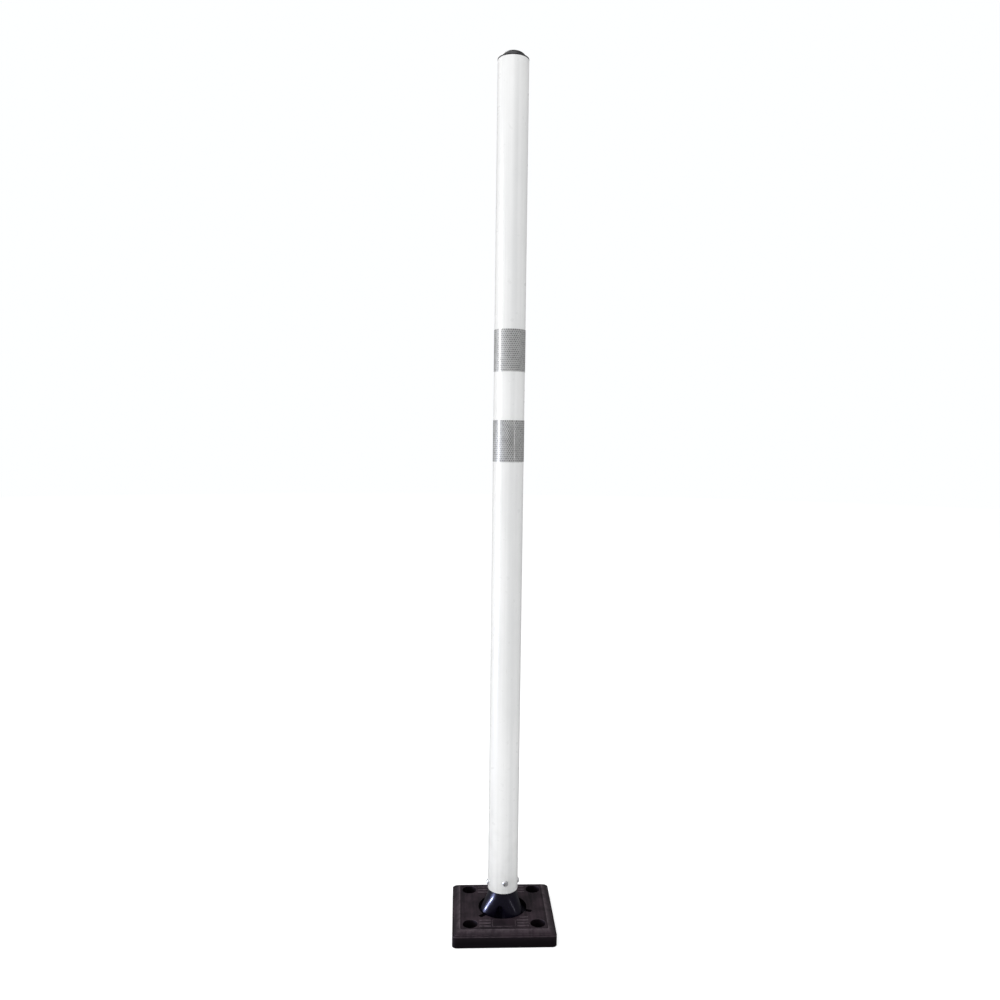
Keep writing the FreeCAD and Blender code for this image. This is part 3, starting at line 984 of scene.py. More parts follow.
@dataclass
class BasePlate:
    """The square rubber base: slopes, lip, groove, anchor holes, well, ribs and panel.

    Attributes:
        half: Half the base's side.
        corner: Radius of its corners in plan.
        inner_corner: Smallest corner radius of the plateau.
        top: Height of the ribs' tops.
        wall: Height of the upright wall.
        slope_width: Width of the outer slope.
        slope_rise: Height that the outer slope gains.
        step: Height of the step above it.
        inner_width: Width of the inner slope.
        lip: Width of the plateau's lip.
        groove: Width of the groove inside the lip.
        groove_depth: Its depth.
        bore: Radius of the anchor holes.
        spacing: Distance between the anchor holes.
        pocket: Radius of the counterbores.
        pocket_floor: Height of their floors.
        mouth: Rounding of their mouths.
        well: Radius of the well.
        well_floor: Height of its floor.
        ledge: Thickness of the ledge over the lugs' ring.
        ring: Radius of that ring.
        notch_half: Half the width of a notch.
        notch_reach: How far a notch goes past the well's edge.
        first_notch: Angle of the first notch.
        notches: Number of notches.
        rib_height: Height of the ribs.
        rib_width: Width of the ribs.
        rib_pitch: Distance from rib to rib.
        rib_rows: Rows in each corner.
        rib_gap: Room between the ribs and the counterbores.
        rib_start: Distance from the well to the first rib's middle.
        near_gap: Room between the well and the single rib beside it.
        rib_sink: How far the ribs reach down into the plateau.
        rib_edge: Rounding of the ribs' edges.
        panel_half: Half the width of the blank panel.
        panel_gap: Room between the panel and the ribs.
        lug_half: Half the angle that a lug takes up.
        stop_turn: Angle that a stop block takes up.
        overlap: How far the stop blocks reach into what they stand on.
        round_segments: Number of spans round an anchor hole.
    """

    half: float
    top: float
    bore: float
    spacing: float
    corner: float = 9 * MM
    inner_corner: float = 3 * MM
    wall: float = 21.5 * MM
    slope_width: float = 4 * MM
    slope_rise: float = 1.5 * MM
    step: float = 0.8 * MM
    inner_width: float = 10.3 * MM
    lip: float = 1.5 * MM
    groove: float = 1.4 * MM
    groove_depth: float = 1.0 * MM
    pocket: float = 15 * MM
    pocket_floor: float = 12 * MM
    mouth: float = 1.5 * MM
    well: float = 49 * MM
    well_floor: float = 6 * MM
    ledge: float = 12 * MM
    ring: float = 61.9 * MM
    notch_half: float = 4.8 * MM
    notch_reach: float = 12.5 * MM
    first_notch: float = math.radians(100)
    notches: int = 3
    rib_height: float = 0.8 * MM
    rib_width: float = 4.2 * MM
    rib_pitch: float = 10.5 * MM
    rib_rows: int = 3
    rib_gap: float = 1.7 * MM
    rib_start: float = 6 * MM
    near_gap: float = 4.2 * MM
    rib_sink: float = 0.3 * MM
    rib_edge: float = 0.6 * MM
    panel_half: float = 23 * MM
    panel_gap: float = 3 * MM
    lug_half: float = math.radians(5.3)
    stop_turn: float = math.radians(6)
    overlap: float = 0.2 * MM
    round_segments: int = 56

    @classmethod
    def from_frame(cls) -> "BasePlate":
        """Takes the base's own sizes from the frame."""
        half, _, top = upright("base_plate")
        dims = ANCHORS["dims"]
        bore, spacing = dims["hole_r_mm"] * MM, dims["spacing_x_mm"] * MM
        return cls(half=half, top=top, bore=bore, spacing=spacing)

    @property
    def plateau(self) -> float:
        """Height of the plateau."""
        return self.top - self.rib_height

    @property
    def inside(self) -> float:
        """Half the side of the area inside the groove."""
        lip_edge = self.half - self.slope_width - self.inner_width
        return lip_edge - self.lip - self.groove

    def outside(self) -> list[Station]:
        """The outside's profile, from under the wall to the plateau inside the groove."""
        slope_top = self.wall + self.slope_rise
        step_edge = self.half - self.slope_width
        lip_edge = step_edge - self.inner_width
        groove_edge = lip_edge - self.lip
        floor = self.plateau - self.groove_depth
        inside = self.inside
        # The wear values of these corners also set where the rubber paints highlights along the slopes, the lip
        # and the groove.
        corners = [
            Corner(self.half - 2 * MM, 0),
            Corner(self.half, 0, 0.5 * MM, 0.2),
            Corner(self.half, self.wall, 1.3 * MM, 0.4),
            Corner(step_edge, slope_top, 0.25 * MM),
            Corner(step_edge, slope_top + self.step, 0.6 * MM, 0.8),
            Corner(lip_edge, self.plateau, 0.8 * MM, 1.0, 0.3),
            Corner(groove_edge, self.plateau, 0.5 * MM, 0.9, 0.4),
            Corner(groove_edge - 0.2 * MM, floor, 0.2 * MM),
            Corner(inside + 0.2 * MM, floor, 0.2 * MM),
            Corner(inside, self.plateau, 0.3 * MM, 0.25),
            Corner(inside - 1 * MM, self.plateau),
        ]
        return soften(corners)

    def square(self, station: Station) -> list[Vector]:
        """Points of one rounded-square loop of the outside."""
        half = station.across
        radius = max(self.corner - (self.half - half), self.inner_corner)
        return rounded_rectangle(half, half, radius, station.height)

    def well_outline(self, offset: float, height: float) -> list[Vector]:
        """Points round the well and its notches.

        Args:
            offset: Distance that the outline is widened by.
            height: Its height.

        Returns:
            The loop's points, anticlockwise.
        """
        radius = self.well + offset
        reach = self.well + self.notch_reach + offset
        half = self.notch_half + offset
        near, far = math.asin(half / radius), math.asin(half / reach)
        turn = FULL_TURN / self.notches
        points = []
        for index in range(self.notches):
            angle = self.first_notch + index * turn
            arc = span(angle - turn + near, angle - near, 40)
            end = span(angle - far, angle + far, 6)
            for distance, angles in ((radius, arc), (reach, end)):
                points += [polar(distance, a, height) for a in angles]
        return points

    def anchor_places(self) -> list[Point]:
        """Centres of the anchor holes."""
        half = self.spacing / 2
        return [(x, y) for x in (-half, half) for y in (-half, half)]

    def anchor_profile(self) -> list[Station]:
        """An anchor hole's profile, from the plateau down to the underside."""
        corners = [
            Corner(self.pocket + self.mouth + 0.6 * MM, self.plateau),
            Corner(self.pocket, self.plateau, self.mouth, 0.35),
            Corner(self.pocket, self.pocket_floor, 0.5 * MM),
            Corner(self.bore, self.pocket_floor, 0.4 * MM, 0.3),
            Corner(self.bore, 0, 0.3 * MM),
            Corner(self.bore + 1 * MM, 0),
        ]
        return soften(corners)

    def stop(self, shell: Shell, angle: float) -> None:
        """Adds one stop block in the lugs' ring, from an angle onwards."""
        angles = span(angle, angle + self.stop_turn, 4)
        outline = [(self.ring + self.overlap, a) for a in angles]
        outline += [(self.well, a) for a in reversed(angles)]
        floor, ceiling = self.well_floor - self.overlap, self.plateau - self.ledge + self.overlap
        loops = shell.stack(
            shell.loop(polar(radius, a, height) for radius, a in outline)
            for height in (floor, ceiling)
        )
        for loop in loops:
            shell.flat(loop)

    def plate(self, material: Material) -> bpy.types.Object:
        """Makes the plate with its holes, well and notches.

        Args:
            material: The rubber finish.

        Returns:
            The plate.
        """
        shell = Shell()
        outside = shell.rise(self.outside(), self.square)
        holes = [
            shell.rise(
                self.anchor_profile(),
                lambda s, place=place: circle(s.across, s.height, self.round_segments, place),
            )
            for place in self.anchor_places()
        ]
        under = self.plateau - self.ledge
        mouth = soften(
            [
                Corner(1.2 * MM, self.plateau),
                Corner(0, self.plateau, 0.8 * MM, 0.4),
                Corner(0, under),
            ]
        )
        outline = shell.rise(mouth, lambda s: self.well_outline(s.across, s.height))
        ring = shell.stack(
            shell.loop(circle(self.ring, height, 2 * self.round_segments))
            for height in (under, self.well_floor)
        )
        shell.flat(outside[-1], outline[0], *(loops[0] for loops in holes))
        shell.flat(outside[0], *(loops[-1] for loops in holes))
        shell.flat(ring[0], outline[-1])
        shell.flat(ring[1])
        lug_turn = math.radians(JOINTS["twist_lock"]["range_deg"][1])
        for index in range(self.notches):
            lug = self.first_notch - lug_turn + index * FULL_TURN / self.notches
            self.stop(shell, lug - self.lug_half - self.stop_turn)
        return shell.piece("base_plate_body", material)

    def bar(
        self,
        name: str,
        middle: Point,
        half_x: float,
        half_y: float,
        material: Material,
        top_wear_and_highlight: float = 0.35,
    ) -> bpy.types.Object:
        """Makes one low raised block with soft edges, sunk a little into the plateau.

        Args:
            name: The block's name.
            middle: Its centre in plan.
            half_x: Half its length.
            half_y: Half its width.
            material: The rubber finish.
            top_wear_and_highlight: How worn its top is, which also paints light on the top.

        Returns:
            The block.
        """

        def ring(station: Station) -> list[Vector]:
            """Points of the block's outline at a station."""
            half_length, half_depth = half_x + station.across, half_y + station.across
            radius = max(0.9 * MM + station.across, 0.2 * MM)
            return rounded_rectangle(half_length, half_depth, radius, station.height, 4, middle)

        shell = Shell()
        # The edge and top wear values also paint highlights and light on the block.
        corners = [
            Corner(0, -self.rib_sink),
            Corner(0, self.rib_height, self.rib_edge, 1.0, 0.3),
            Corner(-self.rib_edge * 2, self.rib_height, wear_and_highlight=top_wear_and_highlight),
        ]
        loops = shell.rise(soften(corners), ring)
        shell.flat(loops[0])
        shell.flat(loops[-1])
        return shell.piece(name, material)

    def relief(self, material: Material) -> bpy.types.Object:
        """Makes the rows of ribs, the one near rib and the blank front panel.

        Args:
            material: The rubber finish.

        Returns:
            All of them as one piece.
        """
        outer = self.spacing / 2 - self.pocket - self.mouth - self.rib_gap
        inner = self.panel_half + self.panel_gap
        first = self.well + self.rib_start
        half_width = self.rib_width / 2
        rib = self.bar("rib", (0, 0), (outer - inner) / 2, half_width, material)
        rows = row_repeater().run(
            rib,
            Rows=self.rib_rows,
            Across=(outer + inner) / 2,
            First=first,
            Pitch=self.rib_pitch,
            Height=self.plateau,
        )
        near = first - self.rib_pitch
        clear = math.sqrt((self.well + self.near_gap) ** 2 - (near - half_width) ** 2)
        single = self.bar(
            "near_rib", ((outer + clear) / 2, -near), (outer - clear) / 2, half_width, material
        )
        half_rows = self.rib_pitch * (self.rib_rows - 1) / 2
        front, deep = -first - half_rows, half_rows + half_width
        panel = self.bar("panel", (0, front), self.panel_half, deep, material, 0.0)
        for extra in (single, panel):
            extra.data.transform(Matrix.Translation((0, 0, self.plateau)))
        return joined("base_ribs", [rows, single, panel])

    def build(self, material: Material) -> None:
        """Makes the base's pieces and seats them on the base."""
        seat(self.plate(material), Body.BASE, Slot.RUBBER, "base_plate")
        seat(self.relief(material), Body.BASE, Slot.RUBBER, "base_plate")


@dataclass
class HingeBell:
    """The flexible bell: three lobes over the lugs that draw in to a round neck.

    Attributes:
        bottom: Height where the bell leaves its foot.
        waist: Height where the skirt ends and the neck begins.
        top: Height where the neck meets the plug.
        lobe: Radius of the lobes at the bottom.
        neck: Radius of the neck.
        valley: Radius of the valleys at the bottom.
        first_lobe: Angle of the first lobe.
        lobes: Number of lobes.
        mouth: Radius of the hollow at the bottom.
        throat: Radius of the hollow at the top.
        pocket_depth: Depth of the arched pocket in each valley.
        pocket_half: Half the angle that a pocket takes up at the bottom.
        pocket_top: Height of the pockets' arches.
        pocket_slope: Angle over which a pocket's side falls to its full depth.
        arch_slope: Share of a pocket's height over which its arch does so.
        lobe_curve: How quickly the lobes draw in; more is quicker.
        valley_curve: How late the valleys draw in; more is later.
        inset: How far the lobes stay inside the foot's edge.
        lift: How far above its bottom the skirt starts to bend.
        skirt_rows: Rows of faces in the skirt.
        neck_rows: Rows of faces in the neck.
        columns: Number of spans round the bell.
    """

    bottom: float
    waist: float
    top: float
    lobe: float
    neck: float = 26.5 * MM
    valley: float = 33 * MM
    first_lobe: float = math.radians(78)
    lobes: int = 3
    mouth: float = 24 * MM
    throat: float = 19 * MM
    pocket_depth: float = 5.5 * MM
    pocket_half: float = math.radians(18)
    pocket_top: float = 46 * MM
    pocket_slope: float = math.radians(8)
    arch_slope: float = 0.25
    lobe_curve: float = 1.6
    valley_curve: float = 3.2
    inset: float = 0.5 * MM
    lift: float = 9.5 * MM
    skirt_rows: int = 32
    neck_rows: int = 30
    columns: int = 240

    @classmethod
    def from_frame(cls) -> "HingeBell":
        """Takes the bell's own heights and its widest radius from the frame."""
        _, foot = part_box("hinge_foot")
        _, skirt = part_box("hinge_skirt")
        _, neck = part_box("hinge_neck")
        return cls(bottom=foot.z, waist=skirt.z, top=neck.z, lobe=foot.x - cls.inset)

    def radius(self, angle: float, height: float) -> float:
        """The bell's outer radius.

        Args:
            angle: Angle round the Z axis.
            height: Height of the point.

        Returns:
            The radius there.
        """
        part = min(max((height - self.bottom) / (self.top - self.bottom), 0), 1)
        lobe_share = max(math.cos(math.pi / 2 * part), 0) ** self.lobe_curve
        valley_share = 1 - part**self.valley_curve
        lobe = self.neck + lobe_share * (self.lobe - self.neck)
        valley = self.neck + valley_share * (self.valley - self.neck)
        phase = self.lobes * (angle - self.first_lobe)
        plain = valley + (lobe - valley) * (1 + math.cos(phase)) / 2
        return plain - self.pocket_depth * self.pocket(phase, height)

    def pocket(self, phase: float, height: float) -> float:
        """How deep in a pocket a point is, from 0 to 1.

        Args:
            phase: Angle from a lobe, times the number of lobes.
            height: Height of the point.

        Returns:
            The share of the pocket's depth.
        """
        rise = (height - self.bottom) / (self.pocket_top - self.bottom)
        if rise >= 1:
            return 0.0
        from_valley = abs(math.remainder(phase - math.pi, FULL_TURN)) / self.lobes
        half = self.pocket_half * math.sqrt(1 - max(rise, 0) ** 2)
        inside = min(max((half - from_valley) / self.pocket_slope, 0), 1)
        near_top = min((1 - rise) / self.arch_slope, 1)
        return inside * inside * (3 - 2 * inside) * near_top

    def part(
        self, name: str, low: float, high: float, rows: int, material: Material
    ) -> bpy.types.Object:
        """Makes the bell between two heights as a closed, hollow mesh.

        Args:
            name: The piece's name.
            low: Its lower height.
            high: Its upper height.
            rows: Rows of faces between them.
            material: The urethane finish.

        Returns:
            The piece.
        """
        shell = Shell()
        angles = [FULL_TURN * index / self.columns for index in range(self.columns)]
        outer, inner = [], []
        for height in span(low, high, rows):
            part = (height - self.bottom) / (self.top - self.bottom)
            hollow = self.mouth + (self.throat - self.mouth) * part
            outer.append(shell.loop(polar(self.radius(a, height), a, height) for a in angles))
            inner.append(shell.loop(circle(hollow, height, self.columns)))
        shell.stack(outer)
        shell.stack(inner)
        shell.bridge(outer[0], inner[0])
        shell.bridge(outer[-1], inner[-1])
        return shell.piece(name, material)

    def build(self, material: Material) -> None:
        """Makes the skirt and the neck and gives the kept foot and plug their finish."""
        skirt = self.part("bell_skirt", self.bottom, self.waist, self.skirt_rows, material)
        lower_bend = (Body.FOOT, Body.HINGE, self.bottom + self.lift, self.waist)
        seat(skirt, lower_bend, Slot.URETHANE, "hinge_skirt")
        neck = self.part("bell_neck", self.waist, self.top, self.neck_rows, material)
        seat(neck, (Body.HINGE, Body.POST, self.waist, self.top), Slot.URETHANE, "hinge_neck")
        dress("hinge_foot", material)
        dress("hinge_plug", material)


@dataclass
class Post:
    """The hollow white post.

    Attributes:
        radius: Its outer radius.
        bottom: Height of its lower end.
        top: Height of its upper end.
        wall: Its wall.
        edge: Rounding of its ends.
        segments: Number of spans round it.
    """

    radius: float
    bottom: float
    top: float
    wall: float = 3.2 * MM
    edge: float = 0.7 * MM
    segments: int = 128

    @classmethod
    def from_frame(cls) -> "Post":
        """Takes the post's sizes from the frame."""
        return cls(*upright("post_tube"))

    def build(self, material: Material) -> None:
        """Makes the post and seats it."""
        bore = self.radius - self.wall
        corners = [
            Corner(self.radius, self.bottom, self.edge, 0.35),
            Corner(self.radius, self.top, self.edge, 0.15),
            Corner(bore, self.top, self.edge),
            Corner(bore, self.bottom, self.edge),
        ]
        shell = Shell()
        shell.lathe(soften(corners, closed=True), self.segments, closed=True)
        seat(shell.piece("post_shell", material), Body.POST, Slot.POST, "post_tube")


@dataclass
class SheetingBand:
    """One band of reflective sheeting, wrapped round the post with a seam at the back.

    Attributes:
        node: The CAD node it stands for.
        radius: Its outer radius.
        bottom: Height of its lower edge.
        top: Height of its upper edge.
        thickness: Its thickness.
        seam: Width of the gap at the seam.
        seam_angle: Angle of the seam round the post.
        columns: Number of spans round it.
    """

    node: str
    radius: float
    bottom: float
    top: float
    thickness: float = 0.45 * MM
    seam: float = 2 * MM
    seam_angle: float = math.pi / 2
    columns: int = 120

    @classmethod
    def from_frame(cls, node: str) -> "SheetingBand":
        """Takes a band's sizes from its CAD node."""
        return cls(node, *upright(node))

    def chart(self, piece: bpy.types.Object) -> None:
        """Gives the band a map in metres: along the wrap and up."""
        layer = piece.data.uv_layers.new(name="wrap")
        for loop in piece.data.loops:
            point = piece.data.vertices[loop.vertex_index].co
            angle = (math.atan2(point.y, point.x) - self.seam_angle) % FULL_TURN
            layer.data[loop.index].uv = (angle * self.radius, point.z)

    def build(self, material: Material) -> None:
        """Makes the band and seats it on the post."""
        inner = self.radius - self.thickness
        corners = [
            Corner(inner, self.bottom),
            Corner(self.radius, self.bottom, 0.2 * MM),
            Corner(self.radius, self.top, 0.2 * MM),
            Corner(inner, self.top),
        ]
        profile = soften(corners, closed=True, steps=2)
        half_gap = self.seam / 2 / self.radius
        shell = Shell()
        start, end = self.seam_angle + half_gap, self.seam_angle + FULL_TURN - half_gap
        sections = shell.stack(
            shell.loop(polar(s.across, angle, s.height) for s in profile)
            for angle in span(start, end, self.columns)
        )
        shell.faces += [tuple(sections[0]), tuple(reversed(sections[-1]))]
        piece = shell.piece(f"band_{self.node.split('_')[0]}", material)
        self.chart(piece)
        seat(piece, Body.POST, Slot.SHEETING, self.node)


@dataclass
class TopCap:
    """The black cap: a skirt inside the post, a flange on its rim and a low dome.

    Attributes:
        flange: Radius of the flange.
        bottom: Height of the skirt's lower end.
        rim: Height of the post's rim, which the flange rests on.
        top: Height of the dome's top.
        bore: Radius of the post's bore.
        thickness: Thickness of the flange.
        shoulder: Width of the flange outside the dome.
        shell_wall: Thickness of the dome.
        skirt_wall: Thickness of the skirt.
        skirt_gap: Room between the skirt and the post's bore.
        dome_share: Share of the dome's curve that is left above its rounded foot.
        segments: Number of spans round it.
    """

    flange: float
    bottom: float
    rim: float
    top: float
    bore: float
    thickness: float = 2.5 * MM
    shoulder: float = 5.2 * MM
    shell_wall: float = 2.6 * MM
    skirt_wall: float = 2.4 * MM
    skirt_gap: float = 0.15 * MM
    dome_share: float = 0.97
    segments: int = 128

    @classmethod
    def from_frame(cls, post: Post) -> "TopCap":
        """Takes the cap's sizes from its CAD node and the post."""
        flange, bottom, top = upright("top_cap")
        return cls(flange, bottom, post.top, top, post.radius - post.wall)

    def dome(self, radius: float, foot: float, height: float, steps: int) -> list[Station]:
        """Stations of a dome from its top down to just above its foot."""
        angles = span(0, math.pi / 2 * self.dome_share, steps)
        return [
            Station(radius * math.sin(angle), foot + height * math.cos(angle)) for angle in angles
        ]

    def build(self, material: Material) -> None:
        """Makes the cap and seats it on the post."""
        base = self.flange - self.shoulder
        shoulder = self.rim + self.thickness
        outer = self.dome(base, shoulder, self.top - shoulder, 24)
        skirt_edge = self.bore - self.skirt_gap
        edge = soften(
            [
                Corner(outer[-1].across, outer[-1].height),
                Corner(base, shoulder, 0.6 * MM),
                # The flange's wear values also set a painted highlight along its edge.
                Corner(self.flange, shoulder, 0.9 * MM, 0.35),
                Corner(self.flange, self.rim, 0.4 * MM, 0.1),
                Corner(skirt_edge, self.rim, 0.2 * MM),
                Corner(skirt_edge - 0.6 * MM, self.bottom, 0.5 * MM),
                Corner(skirt_edge - self.skirt_wall, self.bottom, 0.5 * MM),
                Corner(skirt_edge - self.skirt_wall, self.rim),
            ]
        )
        hollow = self.dome(
            base - self.shell_wall - 1 * MM, shoulder, self.top - shoulder - self.shell_wall, 16
        )
        shell = Shell()
        shell.lathe(outer[:-1] + edge + hollow[::-1], self.segments)
        seat(shell.piece("cap_dome", material), Body.POST, Slot.CAP, "top_cap")


@dataclass
class BlindRivets:
    """Four blind rivets: domed sleeves, broken-off stems and backing washers.

    Attributes:
        post_radius: Outer radius of the post.
        low: Height of the lower pair.
        stagger: How much higher the other pair is.
        count: Number of rivets.
        turn: Angle of the first rivet.
        head: Radius of the heads.
        dome: Height of the heads above the post.
        shank: Radius of the sleeves.
        stem: Radius of the stems.
        recess: How far the stems' broken ends lie below the heads' tops.
        seat_plane: Distance from the post's axis to the washers' outer faces.
        washer: Radius of the washers.
        washer_thickness: Their thickness.
        bulb: Radius of the sleeves' set bulbs.
        bulb_length: Length of the bulbs.
        tip: Radius of the stems' heads.
        tip_length: Length of the stems' heads.
        head_edge: Height of the heads' straight rim.
        head_sink: How far a head's flat underside lies inside the post's curve.
        stem_gap: Room between the stems and the sleeves.
        segments: Number of spans round each part.
    """

    post_radius: float
    low: float
    stagger: float
    count: int = 4
    turn: float = math.radians(7)
    head: float = 5.6 * MM
    dome: float = 3 * MM
    shank: float = 2.4 * MM
    stem: float = 1.3 * MM
    recess: float = 0.5 * MM
    seat_plane: float = 18.65 * MM
    washer: float = 6.5 * MM
    washer_thickness: float = 1.5 * MM
    bulb: float = 3.7 * MM
    bulb_length: float = 3.4 * MM
    tip: float = 2.9 * MM
    tip_length: float = 2.2 * MM
    head_edge: float = 0.9 * MM
    head_sink: float = 0.55 * MM
    stem_gap: float = 0.05 * MM
    segments: int = 40

    @classmethod
    def from_frame(cls, post: Post) -> "BlindRivets":
        """Takes the rivets' heights from their CAD node."""
        low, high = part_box("rivet_bodies")
        first = low.z + cls.head
        return cls(post_radius=post.radius, low=first, stagger=high.z - cls.head - first)

    def turned(
        self, name: str, stations: Sequence[Station], closed: bool, material: Material
    ) -> bpy.types.Object:
        """Turns a profile and lays its axis along +X.

        Args:
            name: The part's name.
            stations: Radius and place along the axis.
            closed: Whether the profile joins up with itself.
            material: The metal.

        Returns:
            The part.
        """
        shell = Shell()
        shell.lathe(stations, self.segments, closed)
        part = shell.piece(name, material)
        part.data.transform(Matrix.Rotation(math.pi / 2, 4, "Y"))
        return part

    def sleeve(self) -> list[Station]:
        """The sleeve's profile: domed head, shank and set bulb, with its bore."""
        bore = self.stem + self.stem_gap
        rim = self.post_radius - self.head_sink
        crown = self.post_radius + self.dome
        mouth, foot = bore + 0.5 * MM, rim + self.head_edge
        wide, tall = self.head - mouth, crown - foot
        dome = [
            Station(mouth + wide * math.sin(a), foot + tall * math.cos(a))
            for a in span(0, math.pi / 2, 12)
        ]
        back = self.seat_plane - self.washer_thickness
        rest = soften(
            [
                Corner(self.head, rim + 0.5 * MM),
                Corner(self.head, rim, 0.2 * MM),
                Corner(self.shank, rim, 0.2 * MM),
                Corner(self.shank, back, 0.2 * MM),
                Corner(self.bulb, back - 0.3 * MM, 0.8 * MM),
                Corner(self.bulb - 0.3 * MM, back - self.bulb_length, 0.8 * MM),
                Corner(bore, back - self.bulb_length),
            ]
        )
        return dome + rest + [Station(bore, crown - 0.4 * MM)]

    def stem_profile(self) -> list[Station]:
        """The broken-off stem's profile, from its outer end to its head's end."""
        end = self.post_radius + self.dome - self.recess
        back = self.seat_plane - self.washer_thickness - self.bulb_length
        corners = [
            Corner(0, end - 0.15 * MM),
            Corner(self.stem * 0.55, end),
            Corner(self.stem, end - 0.1 * MM, 0.2 * MM),
            Corner(self.stem, back, 0.2 * MM),
            Corner(self.tip, back - 0.2 * MM, 0.6 * MM),
            Corner(self.tip * 0.8, back - self.tip_length, 0.7 * MM),
            Corner(0, back - self.tip_length),
        ]
        return soften(corners)

    def washer_profile(self) -> list[Station]:
        """The backing washer's profile."""
        back = self.seat_plane - self.washer_thickness
        hole = self.shank + 0.1 * MM
        corners = [
            Corner(hole, self.seat_plane, 0.1 * MM),
            Corner(self.washer, self.seat_plane, 0.3 * MM),
            Corner(self.washer, back, 0.3 * MM),
            Corner(hole, back, 0.1 * MM),
        ]
        return soften(corners, closed=True)

    def build(self, metal: Material, steel: Material) -> None:
        """Makes the sleeves, stems and washers and seats them on the post.

        Args:
            metal: Finish of the sleeves.
            steel: Finish of the stems and washers.
        """
        tree = ring_repeater()
        parts = (
            ("rivet_sleeves", self.sleeve(), True, metal, Slot.RIVET, "rivet_bodies"),
            ("rivet_stems", self.stem_profile(), False, steel, Slot.STEEL, "rivet_mandrels"),
            ("rivet_backings", self.washer_profile(), True, steel, Slot.STEEL, "rivet_washers"),
        )
        for name, profile, closed, material, slot, node in parts:
            part = self.turned(name, profile, closed, material)
            tree.run(part, Count=self.count, Turn=self.turn, Low=self.low, Stagger=self.stagger)
            seat(part, Body.POST, slot, node)


# ------------------------------------------------------------------- studio


@dataclass
class SoftLight:
    """A rectangular studio light aimed at a point.

    Attributes:
        name: Its name.
        place: Where it stands.
        aim: The point it faces.
        width: Its width.
        height: Its height.
        power: Its power in watts.
        colour: Its colour.
        lights_surfaces: Whether it lights matte surfaces.
        mirrored: Whether it shows in glossy surfaces.
    """

    name: str
    place: tuple[float, float, float]
    aim: tuple[float, float, float]
    width: float
    height: float
    power: float
    colour: tuple[float, float, float] = (1, 1, 1)
    lights_surfaces: bool = True
    mirrored: bool = True

    def build(self) -> None:
        """Puts the light in the scene."""
        data = bpy.data.lights.new(self.name, "AREA")
        data.shape = "RECTANGLE"
        data.size, data.size_y = self.width, self.height
        data.energy = self.power
        data.color = self.colour
        lamp = bpy.data.objects.new(self.name, data)
        lamp.location = self.place
        facing = Vector(self.aim) - Vector(self.place)
        lamp.rotation_euler = facing.to_track_quat("-Z", "Y").to_euler()
        lamp.visible_diffuse = self.lights_surfaces
        lamp.visible_glossy = self.mirrored
        lamp.visible_camera = False
        bpy.context.scene.collection.objects.link(lamp)


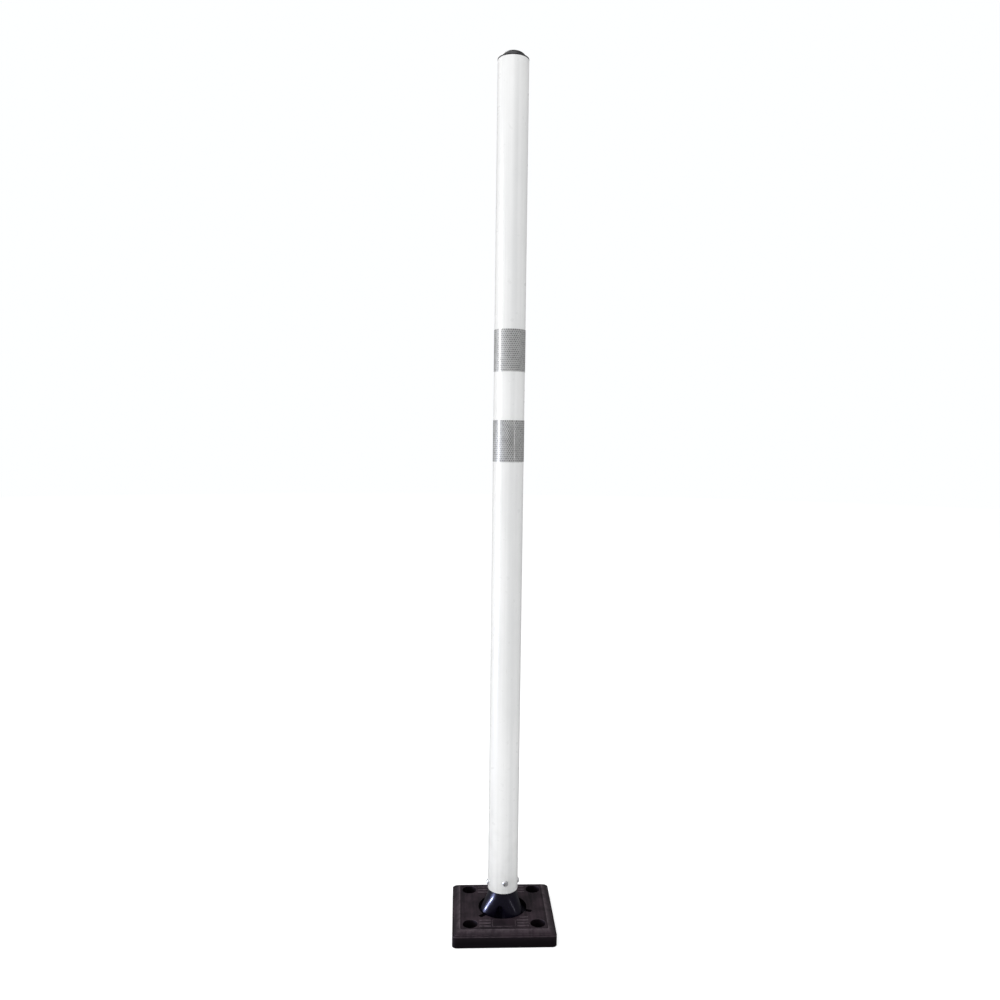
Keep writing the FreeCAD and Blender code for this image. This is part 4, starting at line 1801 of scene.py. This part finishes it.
@dataclass
class Studio:
    """The pale floor, the soft light and the camera.

    Attributes:
        height: The object's height, which the lights are set out by.
        camera_place: Where the camera stands.
        lens: The camera's focal length in millimetres.
        heading: The camera's turn about the vertical axis.
        pitch: How far it looks down.
        roll: Its roll.
        sensor: The width of its sensor in millimetres.
        floor_height: Height of the floor.
    """

    height: float
    camera_place: tuple[float, float, float] = (-0.0955, -1.7574, 0.9789)
    lens: float = 32.14
    heading: float = 0.0456
    pitch: float = 0.0682
    roll: float = 0.0125
    sensor: float = 36
    floor_height: float = -0.2 * MM

    def camera(self) -> None:
        """Makes the camera."""
        data = bpy.data.cameras.new("camera")
        data.lens = self.lens
        data.sensor_width = self.sensor
        data.clip_end = 100
        view = bpy.data.objects.new("camera", data)
        ahead = Vector((math.sin(self.heading), math.cos(self.heading), 0))
        right = Vector((ahead.y, -ahead.x, 0))
        up = Vector((0, 0, 1))
        facing = ahead * math.cos(self.pitch) - up * math.sin(self.pitch)
        upright = ahead * math.sin(self.pitch) + up * math.cos(self.pitch)
        side = right * math.cos(self.roll) + upright * math.sin(self.roll)
        crown = upright * math.cos(self.roll) - right * math.sin(self.roll)
        view.matrix_world = Matrix.Translation(self.camera_place) @ Matrix(
            (side, crown, -facing)
        ).transposed().to_4x4()
        bpy.context.scene.collection.objects.link(view)
        bpy.context.scene.camera = view

    def floor(self) -> None:
        """Makes the pale floor, a wide disc just under the object."""
        shell = Shell()
        rings = [shell.loop([(0, 0, self.floor_height)])]
        for radius in (0.5, 2, 6, 14):
            rings.append(shell.loop(circle(radius, self.floor_height, 96)))
        shell.stack(rings)
        graph = Graph("floor", Roughness=0.9, Emission_Color=grey(1.0), Emission_Strength=0.56)
        cloud = graph.noise(graph.place((3, 3, 3)), 1, 2)
        colour = graph.blend(cloud, grey(0.93), grey(0.95))
        floor = shell.piece("floor", graph.finish(Base_Color=colour))
        floor.visible_glossy = False

    def sky(self) -> None:
        """Makes the white surroundings, dimmer in reflections than they look."""
        world = bpy.data.worlds.new("studio")
        bpy.context.scene.world = world
        world.use_nodes = True
        world.node_tree.nodes.clear()
        tree = NodeTree(world.node_tree)
        ray = tree.node("ShaderNodeLightPath").outputs
        seen, light, mirror = (
            tree.node("ShaderNodeBackground", grey(1.0, -0.01), level).outputs[0]
            for level in (1.0, 0.52, 0.2)
        )
        unseen = tree.node("ShaderNodeMixShader", ray["Is Glossy Ray"], light, mirror)
        shown = tree.node("ShaderNodeMixShader", ray["Is Camera Ray"], unseen.outputs[0], seen)
        tree.node("ShaderNodeOutputWorld", shown.outputs[0])

    def lights(self) -> list[SoftLight]:
        """The studio's lights."""
        middle, white, cool = (0, 0, self.height * 0.5), (1, 1, 1), (0.6, 0.7, 1)
        return [
            SoftLight("overhead", (-0.6, -0.9, 3.2), (0, 0, 0.4), 2.6, 2.6, 24),
            SoftLight("left_wall", (-2.4, -0.8, 1.0), middle, 1.6, 2.6, 21, mirrored=False),
            SoftLight("left_strip", (-2, -0.36, 1.25), middle, 0.29, 1.5, 36, white, False),
            SoftLight("right_strip", (1.4, -1.5, 0.9), middle, 0.05, 0.55, 1.6, white, False),
            SoftLight("low_gleam", (-1.56, -0.28, 0.3), (0, 0, 0.04), 0.26, 0.16, 28, cool, False),
            SoftLight("back_top", (-0.8, 1.7, 3.2), (0, 0, 1.2), 1.2, 0.7, 14, white, False),
        ]

    def build(self) -> None:
        """Sets the studio up."""
        bpy.context.scene.view_settings.view_transform = "Standard"
        self.floor()
        self.sky()
        for light in self.lights():
            light.build()
        self.camera()


def main() -> None:
    """Builds every piece in order and sets the studio up round them."""
    logging.basicConfig(level=logging.INFO, format="%(name)s %(message)s")
    BasePlate.from_frame().build(BaseRubber().material())
    HingeBell.from_frame().build(HingeUrethane().material())
    post = Post.from_frame()
    post.build(PostWhite(foot=post.bottom).material())
    sheeting = ReflectiveSheeting().material()
    for node in ("upper_sheeting", "lower_sheeting"):
        SheetingBand.from_frame(node).build(sheeting)
    TopCap.from_frame(post).build(CapBlack().material())
    steel = FastenerMetal(Slot.STEEL, (0.5, 0.5, 0.51, 1), (0.24, 0.22, 0.2, 1), 0.3)
    BlindRivets.from_frame(post).build(FastenerMetal(Slot.RIVET).material(), steel.material())
    Studio(height=CAD_BOX[1].z).build()


if __name__ == "__main__":
    main()
